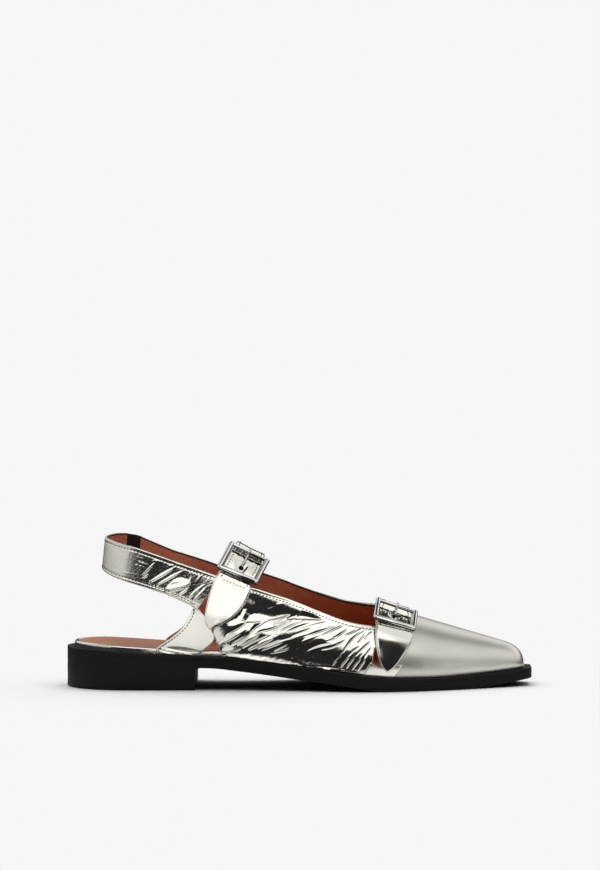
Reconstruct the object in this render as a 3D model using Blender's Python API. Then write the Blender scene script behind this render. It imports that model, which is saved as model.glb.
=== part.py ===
"""Slingback flat with two buckled straps, right foot, about size EU 38.

Sizes are in millimetres and the meshes in metres. A station is a distance along the shoe from the back of
the heel. In the finished frame +X is the toe, -Y the outer side of the foot, +Z is up and the floor is at Z 0.
"""

import bpy
import numpy as np

MM = 0.001


def table(columns, *rows):
    """Rows of numbers as named columns."""
    return {name: np.array(column, float) for name, column in zip(columns.split(), zip(*rows))}


# Driving sizes
SOLE_LENGTH = 267.0
GAP = 0.3
HEEL_RADIUS = 31.0
HEEL_FLAT = 0.15
TOE_CORNER = 4.0
BREAST = 74.4
SOLE_EDGE_BEVEL = 0.7

UPPER_WALL = 1.8
UPPER_BACK = 2.2
UPPER_TIP = 262.8
UPPER_START = 46.0
TOE_NOSE_START = 250.0
TOE_NOSE_POWER = 3.0
TOE_UPPER_CORNER = 5.0
WALL_BULGE = 1.1
BACK_LEAN_STATION = 80.0

RAND_INSET = 4.2
RAND_THICKNESS = 2.2
RAND_HEIGHT = 3.0
RAND_FRONT = 94.0
INSOLE_BACK = 6.8
INSOLE_TIP = 259.6
INSOLE_HEEL_INSET = 6.8
INSOLE_FORE_INSET = 6.2

SLING_WALL = 2.0
ELASTIC_WALL = 1.2
ELASTIC_START = 21.5
ELASTIC_END = 34.5

STRAP_WIDTH = 18.8
STRAP_THICKNESS = 2.2
STRAP_HOLE_RADIUS = 1.5
POST_RADIUS = 1.45
POST_SPREAD = 11.2
POST_OVERHANG = 0.4
LOW_BAR_RADIUS = 1.7
HIGH_BAR_RADIUS = 1.1
PRONG_RADIUS = 0.75
PRONG_RING_TUBE = 0.45

# Plan outline of the sole: outer and inner edge from the shoe's axis
SOLE_OUTLINE = table(
    "station lateral medial",
    (0, -31.5, 28.5),
    (30, -32.5, 29.5),
    (55, -33.0, 29.0),
    (75, -32.8, 27.2),
    (95, -33.2, 25.2),
    (115, -35.2, 25.0),
    (135, -38.7, 28.5),
    (155, -42.0, 35.0),
    (170, -43.0, 39.8),
    (185, -42.2, 42.8),
    (200, -39.0, 42.6),
    (215, -33.6, 39.0),
    (230, -26.8, 33.2),
    (245, -19.2, 26.4),
    (258, -12.2, 20.0),
    (268, -6.8, 15.2),
)
# Top of the sole, seen from the side
SOLE_TOP = table(
    "station height",
    (0, 22.8),
    (18, 22.4),
    (36, 21.2),
    (55, 20.0),
    (74, 19.1),
    (92, 18.4),
    (116, 16.4),
    (142, 12.6),
    (169, 8.8),
    (186, 7.3),
    (214, 7.0),
    (243, 8.3),
    (268, 10.3),
)
# Underside in front of the heel: shank, tread and toe spring
SOLE_UNDERSIDE = table(
    "station height",
    (74.4, 12.5),
    (86, 12.2),
    (111, 9.2),
    (133, 6.3),
    (152, 3.9),
    (168, 1.4),
    (178, 0.0),
    (236, 0.0),
    (253, 2.1),
    (268, 4.5),
)
# Ridge of the last: height, place across, and power of the section's curve
LAST_RIDGE = table(
    "station height across power",
    (0, 110.0, -1.5, 2.2),
    (50, 104.0, -1.0, 2.2),
    (80, 90.5, 0.0, 2.2),
    (104, 76.0, 1.0, 2.2),
    (130, 65.0, 2.5, 2.2),
    (150, 57.2, 3.5, 2.2),
    (170, 50.0, 4.0, 2.2),
    (190, 42.8, 4.5, 2.2),
    (208, 37.3, 4.5, 2.2),
    (225, 32.4, 4.5, 2.2),
    (241, 27.7, 4.3, 2.3),
    (268, 19.8, 4.2, 2.4),
)
# Width of sole left showing outside the upper
LEDGE = table("station width", (0, 2.0), (100, 2.0), (150, 3.2), (185, 3.8), (215, 3.4), (262, 3.0))
# How far the back of the last leans forward at each height
BACK_LEAN = table("height shift", (20, 0.0), (40, 9.0), (67, 18.6), (86, 20.6), (112, 22.0))

# Lower and upper edge of the back strap on the outer and the inner side
SLING = table(
    "station lateral_low lateral_high medial_low medial_high",
    (20, 67.0, 85.2, 67.0, 85.2),
    (24, 65.0, 84.6, 66.2, 86.2),
    (30, 62.9, 83.2, 65.5, 86.6),
    (40, 60.0, 80.2, 63.5, 85.0),
    (50, 56.9, 76.8, 60.5, 80.6),
    (60, 53.5, 73.3, 57.0, 76.4),
    (70, 48.8, 69.8, 53.0, 73.4),
    (80, 43.0, 66.3, 48.5, 70.3),
    (90, 37.0, 62.8, 44.0, 66.8),
)
# Slanted front ends of the back strap, from the lower to the upper edge
SLING_END = table("lateral medial", (72.2, 74.0), (86.5, 87.6))

# Rear edge of the side tabs up to the collar, outer and inner side
TAB_EDGE = table(
    "lateral_station lateral_height medial_station medial_height",
    (50.5, 16.0, 54.0, 16.0),
    (52.4, 24.0, 55.8, 24.0),
    (60.7, 30.0, 63.4, 29.4),
    (66.3, 35.0, 68.4, 35.0),
    (71.1, 42.3, 72.6, 43.0),
    (73.7, 46.0, 75.4, 48.6),
    (88.2, 63.4, 89.2, 66.8),
)
# Collar from the tabs' top to the throat
COLLAR_EDGE = table(
    "lateral_station lateral_height medial_station medial_height",
    (88.2, 63.4, 89.2, 66.8),
    (109.3, 56.1, 109.3, 63.0),
    (131.9, 48.9, 131.9, 55.4),
    (157.6, 39.9, 157.6, 47.8),
    (176.1, 36.2, 176.1, 45.0),
    (190.5, 38.0, 190.5, 42.2),
    (199.0, 40.5, 199.0, 40.5),
)
# Cut-outs: a triangle beside each tab, and two keyholes on the outer side behind the straps' ends
TAB_TRIANGLE = table("station height", (76.8, 17.0), (78.4, 21.8), (85.6, 28.5), (88.8, 20.6), (89.4, 15.0))
REAR_KEYHOLE = table(
    "station height",
    (75.8, 47.4),
    (82.6, 55.6),
    (90.0, 56.6),
    (95.0, 51.0),
    (91.0, 43.0),
    (84.0, 39.6),
    (79.0, 42.2),
)
FRONT_KEYHOLE = table(
    "station height",
    (176.4, 27.6),
    (173.6, 21.4),
    (173.4, 16.6),
    (180.8, 13.6),
    (188.0, 16.4),
    (192.0, 23.0),
    (190.0, 29.0),
    (183.0, 31.5),
)

# Belts: tip of the hanging end on the outer side, lean of the belt's plane, shape of the end, and the place
# of the buckle along the belt from the tip
REAR_BELT = {
    "tip_station": 82.9,
    "tip_height": 35.2,
    "lean_deg": 28.0,
    "end_width": 21.6,
    "tip_length": 26.0,
    "tip_power": 1.85,
    "tip_bow": 0.8,
    "tip_lift": 1.2,
    "anchor_height": 42.0,
    "low_bar": 33.0,
    "high_bar": 48.6,
    "bar_skew": 0.0,
    "buckle_beside": -0.3,
    "hole": 38.5,
    "prong_length": 6.8,
}
FRONT_BELT = {
    "tip_station": 182.6,
    "tip_height": 11.2,
    "lean_deg": 11.5,
    "end_width": 22.6,
    "tip_length": 25.0,
    "tip_power": 1.55,
    "tip_bow": 0.0,
    "tip_lift": 1.0,
    "anchor_height": 20.0,
    "low_bar": 27.8,
    "high_bar": 43.6,
    "bar_skew": 0.9,
    "buckle_beside": -1.2,
    "hole": 36.5,
    "prong_length": 5.6,
}


# Curves

def rounded_line(xs, ys, reach):
    """The line through the points with its corners rounded over reach, as a function of x."""
    step = 0.25
    fine = np.arange(xs[0] - reach, xs[-1] + reach, step)
    first_slope = (ys[1] - ys[0]) / (xs[1] - xs[0])
    last_slope = (ys[-1] - ys[-2]) / (xs[-1] - xs[-2])
    line = np.interp(fine, xs, ys)
    line += first_slope * np.minimum(fine - xs[0], 0) + last_slope * np.maximum(fine - xs[-1], 0)
    window = np.hanning(int(reach / step) | 1)
    smooth = np.convolve(line, window / window.sum(), mode="same")
    half = len(window) // 2
    smooth[:half], smooth[-half:] = line[:half], line[-half:]
    return lambda x: np.interp(x, fine, smooth)


def curve_through(points, per_span=4, closed=False):
    """Points of a smooth curve through the given points, per_span for each stretch."""
    points = np.asarray(points, float)
    if closed:
        padded = np.vstack([points[-1], points, points[:2]])
    else:
        padded = np.vstack([2 * points[0] - points[1], points, 2 * points[-1] - points[-2]])
    t = np.linspace(0, 1, per_span, endpoint=False)[:, None]
    spans = []
    for a, b, c, d in zip(padded, padded[1:], padded[2:], padded[3:]):
        spans.append(b + 0.5 * t * (c - a + t * (2 * a - 5 * b + 4 * c - d + t * (3 * (b - c) + d - a))))
    if not closed:
        spans.append(points[-1:])
    return np.vstack(spans)


sole_top = rounded_line(SOLE_TOP["station"], SOLE_TOP["height"], 16.0)
sole_underside = rounded_line(SOLE_UNDERSIDE["station"], SOLE_UNDERSIDE["height"], 9.0)
lateral_line = rounded_line(SOLE_OUTLINE["station"], SOLE_OUTLINE["lateral"], 22.0)
medial_line = rounded_line(SOLE_OUTLINE["station"], SOLE_OUTLINE["medial"], 22.0)
ridge_line = rounded_line(LAST_RIDGE["station"], LAST_RIDGE["height"], 24.0)
ridge_across = rounded_line(LAST_RIDGE["station"], LAST_RIDGE["across"], 24.0)
section_power = rounded_line(LAST_RIDGE["station"], LAST_RIDGE["power"], 24.0)
ledge_width = rounded_line(LEDGE["station"], LEDGE["width"], 20.0)
back_lean = rounded_line(BACK_LEAN["height"], BACK_LEAN["shift"], 10.0)
sling_edge = {
    name: rounded_line(SLING["station"], SLING[name], 10.0) for name in SLING if name != "station"
}

ALL_STATIONS = np.arange(0, SOLE_LENGTH, 0.5)
MID_ACROSS = (lateral_line(ALL_STATIONS).min() + medial_line(ALL_STATIONS).max()) / 2
HEEL_CENTRE = (SOLE_OUTLINE["lateral"][0] + SOLE_OUTLINE["medial"][0]) / 2


def in_frame(station, across, height):
    """Points in metres, with the origin under the middle of the sole's box."""
    station, across, height = np.broadcast_arrays(station, across, height)
    return np.stack([station - SOLE_LENGTH / 2, across - MID_ACROSS, height], -1) * MM


def round_end(distance, radius):
    """Share of the full width at a distance from a half-round end."""
    reach = np.clip(distance / radius, 0, 1)
    return np.sqrt(1 - (1 - reach) ** 2)


def corner_inset(station, tip, radius):
    """How far a corner of that radius pulls the edge in, close to the tip."""
    past = np.clip((station - (tip - radius)) / radius, 0, 1)
    return radius * (1 - np.sqrt(1 - past**2))


def outline(station, inset, back, tip, corner):
    """Outer and inner edge of the sole's outline, drawn in by inset, between a round back and a cut toe."""
    width = round_end(station - back + HEEL_FLAT, HEEL_RADIUS - back + HEEL_FLAT)
    pulled = inset + corner_inset(station, tip, corner)
    lateral = HEEL_CENTRE + (lateral_line(station) + inset - HEEL_CENTRE) * width + pulled - inset
    medial = HEEL_CENTRE + (medial_line(station) - inset - HEEL_CENTRE) * width - pulled + inset
    return lateral, medial


def spaced_stations(back, tip, corner, middle):
    """Stations that lie close together round the heel and at the toe's corners."""
    turn = np.radians(np.linspace(0, 90, 9))
    heel = back + (HEEL_RADIUS - back) * (1 - np.cos(turn))
    toe = tip - corner + corner * np.sin(np.radians([0, 25, 50, 70, 90]))
    middle = middle[(middle > heel[-1] + 1) & (middle < toe[0] - 1)]
    return np.concatenate([heel, middle, toe])


# The last, on which the upper, the back strap and the belts lie

def nose_share(station):
    """Share of the ridge's height left over the toe's rounded nose."""
    reach = np.clip((station - TOE_NOSE_START) / (UPPER_TIP - TOE_NOSE_START), 0, 1)
    return (1 - reach**TOE_NOSE_POWER) ** (1 / TOE_NOSE_POWER)


def last_frame(station):
    """Edges, sole height, ridge height, ridge place and power of the last's section at a station."""
    lateral, medial = outline(station, ledge_width(station), UPPER_BACK, UPPER_TIP, TOE_UPPER_CORNER)
    low = sole_top(station) + GAP
    high = low + (ridge_line(station) - low) * nose_share(station)
    across = np.clip(ridge_across(station), lateral, medial)
    return lateral, medial, low, high, across, section_power(station)


def leaned(station, height):
    """Place along the shoe once the heel's back leans forward."""
    share = 1 - np.clip(station / BACK_LEAN_STATION, 0, 1)
    return station + back_lean(height) * share**2


def swell(rise, station):
    """Outward swell of the wall: none at the sole, ridge, back and toe, most a third of the way up."""
    back = round_end(station - UPPER_BACK + HEEL_FLAT, HEEL_RADIUS)
    return WALL_BULGE * 6.75 * rise * (1 - rise) ** 2 * back * nose_share(station)


def last_section(station, turn):
    """Points of the last at a turn from 0, the outer edge, over the ridge to pi, the inner edge."""
    lateral, medial, low, high, across, power = last_frame(station)
    rise = np.abs(np.sin(turn)) ** (2 / power)
    spread = np.abs(np.cos(turn)) ** (2 / power)
    edge = np.where(np.cos(turn) > 0, lateral, medial)
    side = np.where(np.cos(turn) > 0, -1.0, 1.0)
    height = low + (high - low) * rise
    place = across + (edge - across) * spread + side * swell(rise, station)
    return leaned(station, height), place, height


def last_wall(station, height, side):
    """Points of the last's outer (side -1) or inner (side 1) wall at a height."""
    lateral, medial, low, high, across, power = last_frame(station)
    rise = np.clip((height - low) / (high - low), 0, 1)
    edge = np.where(side < 0, lateral, medial)
    place = across + (edge - across) * (1 - rise**power) ** (1 / power) + side * swell(rise, station)
    return leaned(station, height), place, height


# Meshes

def material(name, colour, roughness, metallic):
    made = bpy.data.materials.new(name)
    made.use_nodes = True
    shader = made.node_tree.nodes["Principled BSDF"]
    shader.inputs["Base Color"].default_value = (*colour, 1.0)
    shader.inputs["Roughness"].default_value = roughness
    shader.inputs["Metallic"].default_value = metallic
    return made


def add_object(name, points, faces, finish=None, helper=False):
    mesh = bpy.data.meshes.new(name)
    mesh.from_pydata([tuple(p) for p in points], [], [tuple(f) for f in faces])
    mesh.validate()
    made = bpy.data.objects.new(name, mesh)
    bpy.context.scene.collection.objects.link(made)
    if helper:
        made.hide_render = True
        made.display_type = "WIRE"
        return made
    made.parent = bpy.data.objects["shoe"]
    mesh.materials.append(finish)
    mesh.shade_smooth()
    mesh.set_sharp_from_angle(angle=np.radians(40))
    return made


def grid_normals(grid):
    """Unit normals of a grid of points, along the cross product of its two directions."""
    normals = np.cross(np.gradient(grid, axis=0), np.gradient(grid, axis=1))
    return normals / np.linalg.norm(normals, axis=-1, keepdims=True)


def wall_solid(name, outer, inner, finish, helper=False):
    """A closed wall between two grids of points, with its four rims."""
    rows, columns = outer.shape[:2]
    index = np.arange(rows * columns).reshape(rows, columns)
    below = index + rows * columns
    quads = np.stack([index[:-1, :-1], index[1:, :-1], index[1:, 1:], index[:-1, 1:]], -1).reshape(-1, 4)
    faces = [*quads, *(quads[:, ::-1] + rows * columns)]
    rim = np.concatenate([index[:-1, 0], index[-1, :-1], index[:0:-1, -1], index[0, :0:-1]])
    low_rim = np.concatenate([below[:-1, 0], below[-1, :-1], below[:0:-1, -1], below[0, :0:-1]])
    for k in range(len(rim)):
        after = (k + 1) % len(rim)
        faces.append((rim[after], rim[k], low_rim[k], low_rim[after]))
    points = np.concatenate([outer.reshape(-1, 3), inner.reshape(-1, 3)])
    return add_object(name, points, faces, finish, helper)


def ring_solid(name, rings, finish=None, helper=False):
    """A solid through rings of points, with both end rings filled."""
    count, around = rings.shape[:2]
    index = np.arange(count * around).reshape(count, around)
    after = np.roll(index, -1, axis=1)
    faces = [*np.stack([index[:-1], after[:-1], after[1:], index[1:]], -1).reshape(-1, 4)]
    faces += [tuple(index[0, ::-1]), tuple(index[-1])]
    return add_object(name, rings.reshape(-1, 3), faces, finish, helper)


def loop_prism(name, lateral_loop, medial_loop, lateral_across, medial_across):
    """A cutter that runs across the shoe from one closed loop of (station, height) to another."""
    ends = []
    for loop, across in ((medial_loop, medial_across), (lateral_loop, lateral_across)):
        ends.append(in_frame(loop[:, 0], across, loop[:, 1]))
    rings = np.stack(ends)
    area = np.sum(lateral_loop[:, 0] * np.roll(lateral_loop[:, 1], -1))
    area -= np.sum(lateral_loop[:, 1] * np.roll(lateral_loop[:, 0], -1))
    if area < 0:
        rings = rings[:, ::-1]
    return ring_solid(name, rings, helper=True)


def combine(target, other, operation):
    step = target.modifiers.new(other.name, "BOOLEAN")
    step.operation = operation
    step.object = other
    step.solver = "EXACT"


# Pieces

def build_outsole(finish):
    """Moulded unit sole: flat heel with a square breast, shank, tread and toe spring."""
    heel_half = np.array([42.0, 58.0, BREAST - 0.3])
    fore = np.concatenate([[BREAST, BREAST + 1.8], np.linspace(86, 260, 24)])
    stations = spaced_stations(0.0, SOLE_LENGTH, TOE_CORNER, np.concatenate([heel_half, fore]))
    lateral, medial = outline(stations, 0.0, 0.0, SOLE_LENGTH, TOE_CORNER)
    top = sole_top(stations)
    bottom = np.where(stations < BREAST, 0.0, np.where(stations > BREAST, sole_underside(stations), 11.3))
    b = SOLE_EDGE_BEVEL
    middle = (lateral + medial) / 2
    # Section: along the underside, up the inner wall, back over the top and down the outer wall
    across = [lateral + b, middle, medial - b, medial, medial, medial - b, middle, lateral + b]
    across += [lateral, lateral]
    height = [bottom, bottom, bottom, bottom + b, top - b, top, top, top, top - b, bottom + b]
    rings = in_frame(stations[:, None], np.stack(across, 1), np.stack(height, 1))
    ring_solid("outsole", rings, finish)


def build_insole(finish):
    """Leather sock on its board, inside the upper and inside the rand at the heel."""
    stations = spaced_stations(INSOLE_BACK, INSOLE_TIP, 5.0, np.linspace(40, 250, 26))
    fore = np.clip((stations - RAND_FRONT) / 16.0, 0, 1)
    inset = INSOLE_HEEL_INSET + (INSOLE_FORE_INSET - INSOLE_HEEL_INSET) * fore
    lateral, medial = outline(stations, inset, INSOLE_BACK, INSOLE_TIP, 5.0)
    low = sole_top(stations) + GAP
    high = low + 3.1 - 0.7 * fore
    middle = (lateral + medial) / 2
    b = 0.5
    across = [lateral, middle, medial, medial, medial - b, middle, lateral + b, lateral]
    height = [low, low, low, high - b, high, high, high, high - b]
    rings = in_frame(stations[:, None], np.stack(across, 1), np.stack(height, 1))
    ring_solid("insole", rings, finish)


def build_rand(finish):
    """Strip round the footbed's edge at the heel: a rolled section carried round the heel's outline."""
    turn = np.radians(np.linspace(4, 90, 10))
    heel = RAND_INSET + (HEEL_RADIUS - RAND_INSET) * (1 - np.cos(turn))
    half = np.concatenate([heel, [45, 62, 78, RAND_FRONT]])
    lateral, medial = outline(half, RAND_INSET, RAND_INSET, SOLE_LENGTH, TOE_CORNER)
    station = np.concatenate([half[::-1], half])
    across = np.concatenate([lateral[::-1], medial])
    along = np.stack([np.gradient(station), np.gradient(across)], 1)
    along /= np.linalg.norm(along, axis=1, keepdims=True)
    inward = np.stack([-along[:, 1], along[:, 0]], 1) * -1
    low = sole_top(station) + GAP
    # Section: inset from the outer face, and height, up the outside, over the roll and down the inside
    depth = np.array([0.0, 0.0, 0.35, 1.1, 1.85, RAND_THICKNESS, RAND_THICKNESS])
    rise = np.array([0.0, 2.2, 2.75, RAND_HEIGHT, 2.75, 2.2, 0.0])
    rings = in_frame(
        station[:, None] + inward[:, :1] * depth,
        across[:, None] + inward[:, 1:] * depth,
        low[:, None] + rise,
    )
    ring_solid("heel_rand", rings, finish)


def edge_loop(side):
    """Closed loop behind and above the upper on one side: tab edge, collar, throat, and far outside."""
    tab = np.stack([TAB_EDGE[side + "_station"], TAB_EDGE[side + "_height"]], 1)
    collar = np.stack([COLLAR_EDGE[side + "_station"], COLLAR_EDGE[side + "_height"]], 1)
    outside = [(199.0, 130.0), (30.0, 130.0), (30.0, 14.0), (50.0, 14.0)]
    return np.vstack([curve_through(tab[:-1], 3), tab[-1:], curve_through(collar, 4)[1:], outside])


def build_upper(finish):
    """Vamp, quarters and side tabs: one wall on the last, open underneath, at the collar and cut-outs."""
    nose = UPPER_TIP - TOE_UPPER_CORNER + TOE_UPPER_CORNER * np.sin(np.radians([0, 22, 42, 58, 72, 82, 90]))
    stations = np.concatenate([np.linspace(UPPER_START, 240, 34), [246.0, 251.0, 254.5], nose])
    turns = np.linspace(0, np.pi, 35)
    outer = in_frame(*last_section(stations[:, None], turns[None, :]))
    normals = grid_normals(outer)
    normals[-1] = normals[-2]
    for rim in (np.s_[:, 0], np.s_[:, -1], np.s_[-1, :]):
        level = normals[rim] * (1.0, 1.0, 0.0)
        normals[rim] = level / np.linalg.norm(level, axis=-1, keepdims=True)
    inner = outer - normals * UPPER_WALL * MM
    upper = wall_solid("upper", outer, inner, finish)
    wide = 90.0
    collar = loop_prism("collar_cutter", edge_loop("lateral"), edge_loop("medial"), -wide, wide)
    combine(upper, collar, "DIFFERENCE")
    triangle = np.stack([TAB_TRIANGLE["station"], TAB_TRIANGLE["height"]], 1)
    combine(upper, loop_prism("triangle_cutter", triangle, triangle, -wide, wide), "DIFFERENCE")
    for name, hole in (("rear_keyhole_cutter", REAR_KEYHOLE), ("front_keyhole_cutter", FRONT_KEYHOLE)):
        loop = curve_through(np.stack([hole["station"], hole["height"]], 1), 3, closed=True)
        combine(upper, loop_prism(name, loop, loop, -wide, HEEL_CENTRE), "DIFFERENCE")


def sling_grid(lateral_stations, medial_stations, rows):
    """Outer points of the back strap: columns round the heel, rows from its upper to its lower edge.

    Stations are given for each column and row, so that the slanted ends follow their own lines."""
    station = np.concatenate([lateral_stations, medial_stations])
    side = np.concatenate([-np.ones_like(lateral_stations), np.ones_like(medial_stations)])
    share = np.linspace(1, 0, rows)[None, :]
    height = np.full_like(station, 70.0)
    for _ in range(4):
        place = leaned(station, height)
        low = np.where(side < 0, sling_edge["lateral_low"](place), sling_edge["medial_low"](place))
        high = np.where(side < 0, sling_edge["lateral_high"](place), sling_edge["medial_high"](place))
        height = low + (high - low) * share
    return in_frame(*last_wall(station, height, side))


def round_heel(first, last, count):
    """Stations from first to last, spaced by equal turns round the heel's back."""
    reach = HEEL_RADIUS - UPPER_BACK
    turns = np.arccos(1 - (np.array([first, last]) - UPPER_BACK) / reach)
    return UPPER_BACK + reach * (1 - np.cos(np.linspace(*turns, count)))


def build_sling(leather, elastic_finish):
    """Back strap: the long outer part, the elastic on the inner side, and the short inner part."""
    rows = 6
    share = np.linspace(1, 0, rows)[None, :]
    ends = {side: low + (high - low) * share for side, (low, high) in SLING_END.items()}
    flat = np.ones((1, rows))
    straight = np.linspace(0, 1, 12, endpoint=False)[:, None]

    outer_side = ends["lateral"] + (HEEL_RADIUS - ends["lateral"]) * straight
    heel = round_heel(HEEL_RADIUS, UPPER_BACK, 11)[:, None] * flat
    inner_heel = round_heel(UPPER_BACK, ELASTIC_START, 8)[1:, None] * flat
    parts = [("sling_strap", np.vstack([outer_side, heel]), inner_heel, SLING_WALL, leather)]

    slack = GAP * 1.6
    elastic = np.linspace(ELASTIC_START + slack, ELASTIC_END - slack, 6)[:, None] * flat
    parts.append(("sling_elastic", elastic[:0], elastic, ELASTIC_WALL, elastic_finish))

    inner_side = ELASTIC_END + (ends["medial"] - ELASTIC_END) * np.linspace(0, 1, 12)[:, None]
    parts.append(("sling_strap_medial", inner_side[:0], inner_side, SLING_WALL, leather))
    for name, lateral, medial, wall, finish in parts:
        outer = sling_grid(lateral, medial, rows)
        sunk = (SLING_WALL - wall) / 2 * MM
        normals = grid_normals(outer)
        wall_solid(name, outer - normals * sunk, outer - normals * (sunk + wall * MM), finish)


def belt_point(belt, turn, beside):
    """Point of the last at a turn, in the belt's leaning plane moved sideways by beside."""
    lean = np.radians(belt["lean_deg"])
    station = belt["tip_station"] + beside
    for _ in range(40):
        height = last_section(station, turn)[2]
        wanted = belt["tip_station"] + (beside + (height - belt["tip_height"]) * np.sin(lean)) / np.cos(lean)
        station = 0.4 * station + 0.6 * wanted
    return in_frame(*last_section(station, turn))


def belt_turns(belt):
    """Turns of the last along the belt from its tip, and the distance along the belt to each."""
    turns = np.linspace(0.02, np.pi - 0.02, 500)
    middle = belt_point(belt, turns, np.zeros_like(turns))
    rising = turns < np.pi / 2
    start = np.interp(belt["tip_height"] * MM, middle[rising, 2], turns[rising])
    end = np.interp(-belt["anchor_height"] * MM, -middle[~rising, 2], turns[~rising])
    turns = np.linspace(start, end, 300)
    middle = belt_point(belt, turns, np.zeros_like(turns))
    steps = np.linalg.norm(np.diff(middle, axis=0), axis=1) / MM
    return turns, np.concatenate([[0], np.cumsum(steps)])


def belt_surface(belt, along, beside):
    """Points and outward normals of the last under the belt, at distances along and beside its middle."""
    turns, distance = belt_turns(belt)
    along, beside = np.broadcast_arrays(np.asarray(along, float), np.asarray(beside, float))
    turn = np.interp(along, distance, turns)
    point = belt_point(belt, turn, beside)
    d = 0.01
    by_turn = belt_point(belt, turn + d, beside) - belt_point(belt, turn - d, beside)
    by_side = belt_point(belt, turn, beside + 0.5) - belt_point(belt, turn, beside - 0.5)
    normal = np.cross(by_turn, by_side)
    normal *= -1
    return point, normal / np.linalg.norm(normal, axis=-1, keepdims=True)


def belt_edges(belt, along):
    """Middle and half width of the belt: a pointed end that grows wide, then narrower from the buckle on."""
    left = 1 - np.clip(along / belt["tip_length"], 0, 1)
    end = belt["end_width"] / 2 * (1 - left ** belt["tip_power"]) ** (1 / belt["tip_power"])
    bow = belt["tip_bow"] * np.sin(np.pi * (1 - left))
    past = np.clip((along - belt["low_bar"] + 6.0) / 4.0, 0, 1)
    return bow + (belt["buckle_beside"] - bow) * past, end + (STRAP_WIDTH / 2 - end) * past


def belt_lift(belt, along):
    """How far the belt's underside stands off the upper: more at its hanging tip."""
    return GAP + 0.1 + belt["tip_lift"] * np.clip(1 - along / belt["tip_length"], 0, 1) ** 2


def build_belt(name, belt, finish):
    """Belt from its pointed end on the outer side over the foot to its sewn end on the inner side."""
    total = belt_turns(belt)[1][-1]
    tip = belt["tip_length"] * (1 - np.cos(np.radians(np.linspace(9, 90, 9))))
    along = np.concatenate([tip, np.linspace(tip[-1], total, 30)[1:]])[:, None]
    share = np.linspace(-1, 1, 7)[None, :]
    middle, half = belt_edges(belt, along)
    beside = middle + share * half
    point, normal = belt_surface(belt, along + 0 * share, beside)
    lift = belt_lift(belt, along)[..., None] * MM
    inner = point + normal * lift
    outer = inner + normal * STRAP_THICKNESS * MM
    made = wall_solid(name, outer[:, ::-1], inner[:, ::-1], finish)
    centre, up = belt_surface(belt, belt["hole"], belt["buckle_beside"])
    reach = up * 8.0 * MM
    cutter = bar(name + "_hole_cutter", centre - reach, centre + reach, STRAP_HOLE_RADIUS, 16, helper=True)
    combine(made, cutter, "DIFFERENCE")


def bar(name, start, end, radius, sides, finish=None, helper=False, dome=0.0):
    """A round bar between two points; dome is how far its rounded ends reach past them, in millimetres."""
    start, end = np.asarray(start), np.asarray(end)
    axis = (end - start) / np.linalg.norm(end - start)
    first = np.cross(axis, [0.0, 0.0, 1.0] if abs(axis[2]) < 0.9 else [1.0, 0.0, 0.0])
    first /= np.linalg.norm(first)
    second = np.cross(axis, first)
    turn = np.linspace(0, 2 * np.pi, sides, endpoint=False)[:, None]
    circle = np.cos(turn) * first + np.sin(turn) * second
    # Distance past the end, and share of the radius, over the rounded end
    cap = [(0.0, 1.0), (0.6, 0.8), (0.95, 0.35)] if dome else [(0.0, 1.0)]
    rings = [start - axis * past * dome * MM + circle * share * radius * MM for past, share in cap[::-1]]
    rings += [end + axis * past * dome * MM + circle * share * radius * MM for past, share in cap]
    return ring_solid(name, np.stack(rings), finish, helper)


def buckle_points(belt):
    """Ends of the low and the high bar, above the belt, and the belt's outward direction at each."""
    stand = STRAP_THICKNESS + GAP + 0.4
    low_height = stand + LOW_BAR_RADIUS
    ring_reach = HIGH_BAR_RADIUS + GAP + 2 * PRONG_RING_TUBE
    high_height = stand + ring_reach
    corners = {}
    for bar_name, lift in (("low", low_height), ("high", high_height)):
        along, beside = belt[bar_name + "_bar"], belt["buckle_beside"]
        middle, normal = belt_surface(belt, along, beside)
        left = belt_surface(belt, along + belt["bar_skew"], beside - POST_SPREAD)[0]
        right = belt_surface(belt, along - belt["bar_skew"], beside + POST_SPREAD)[0]
        along_bar = (right - left) / np.linalg.norm(right - left)
        centre = middle + normal * lift * MM
        corners[bar_name] = (
            centre - along_bar * POST_SPREAD * MM,
            centre + along_bar * POST_SPREAD * MM,
            normal,
        )
    return corners


def build_buckle(name, belt, finish):
    """Square frame: two side posts with domed ends, joined by a bar across each end."""
    corners = buckle_points(belt)
    posts = []
    for side in (0, 1):
        low, high = corners["low"][side], corners["high"][side]
        reach = (high - low) / np.linalg.norm(high - low) * POST_OVERHANG * MM
        posts.append((low - reach, high + reach))
    frame = bar(name, *posts[0], POST_RADIUS, 12, finish, dome=1.0)
    joined = [
        bar(name + "_post", *posts[1], POST_RADIUS, 12, helper=True, dome=1.0),
        bar(name + "_low_bar", *corners["low"][:2], LOW_BAR_RADIUS, 10, helper=True),
        bar(name + "_high_bar", *corners["high"][:2], HIGH_BAR_RADIUS, 10, helper=True),
    ]
    for other in joined:
        combine(frame, other, "UNION")


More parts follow.
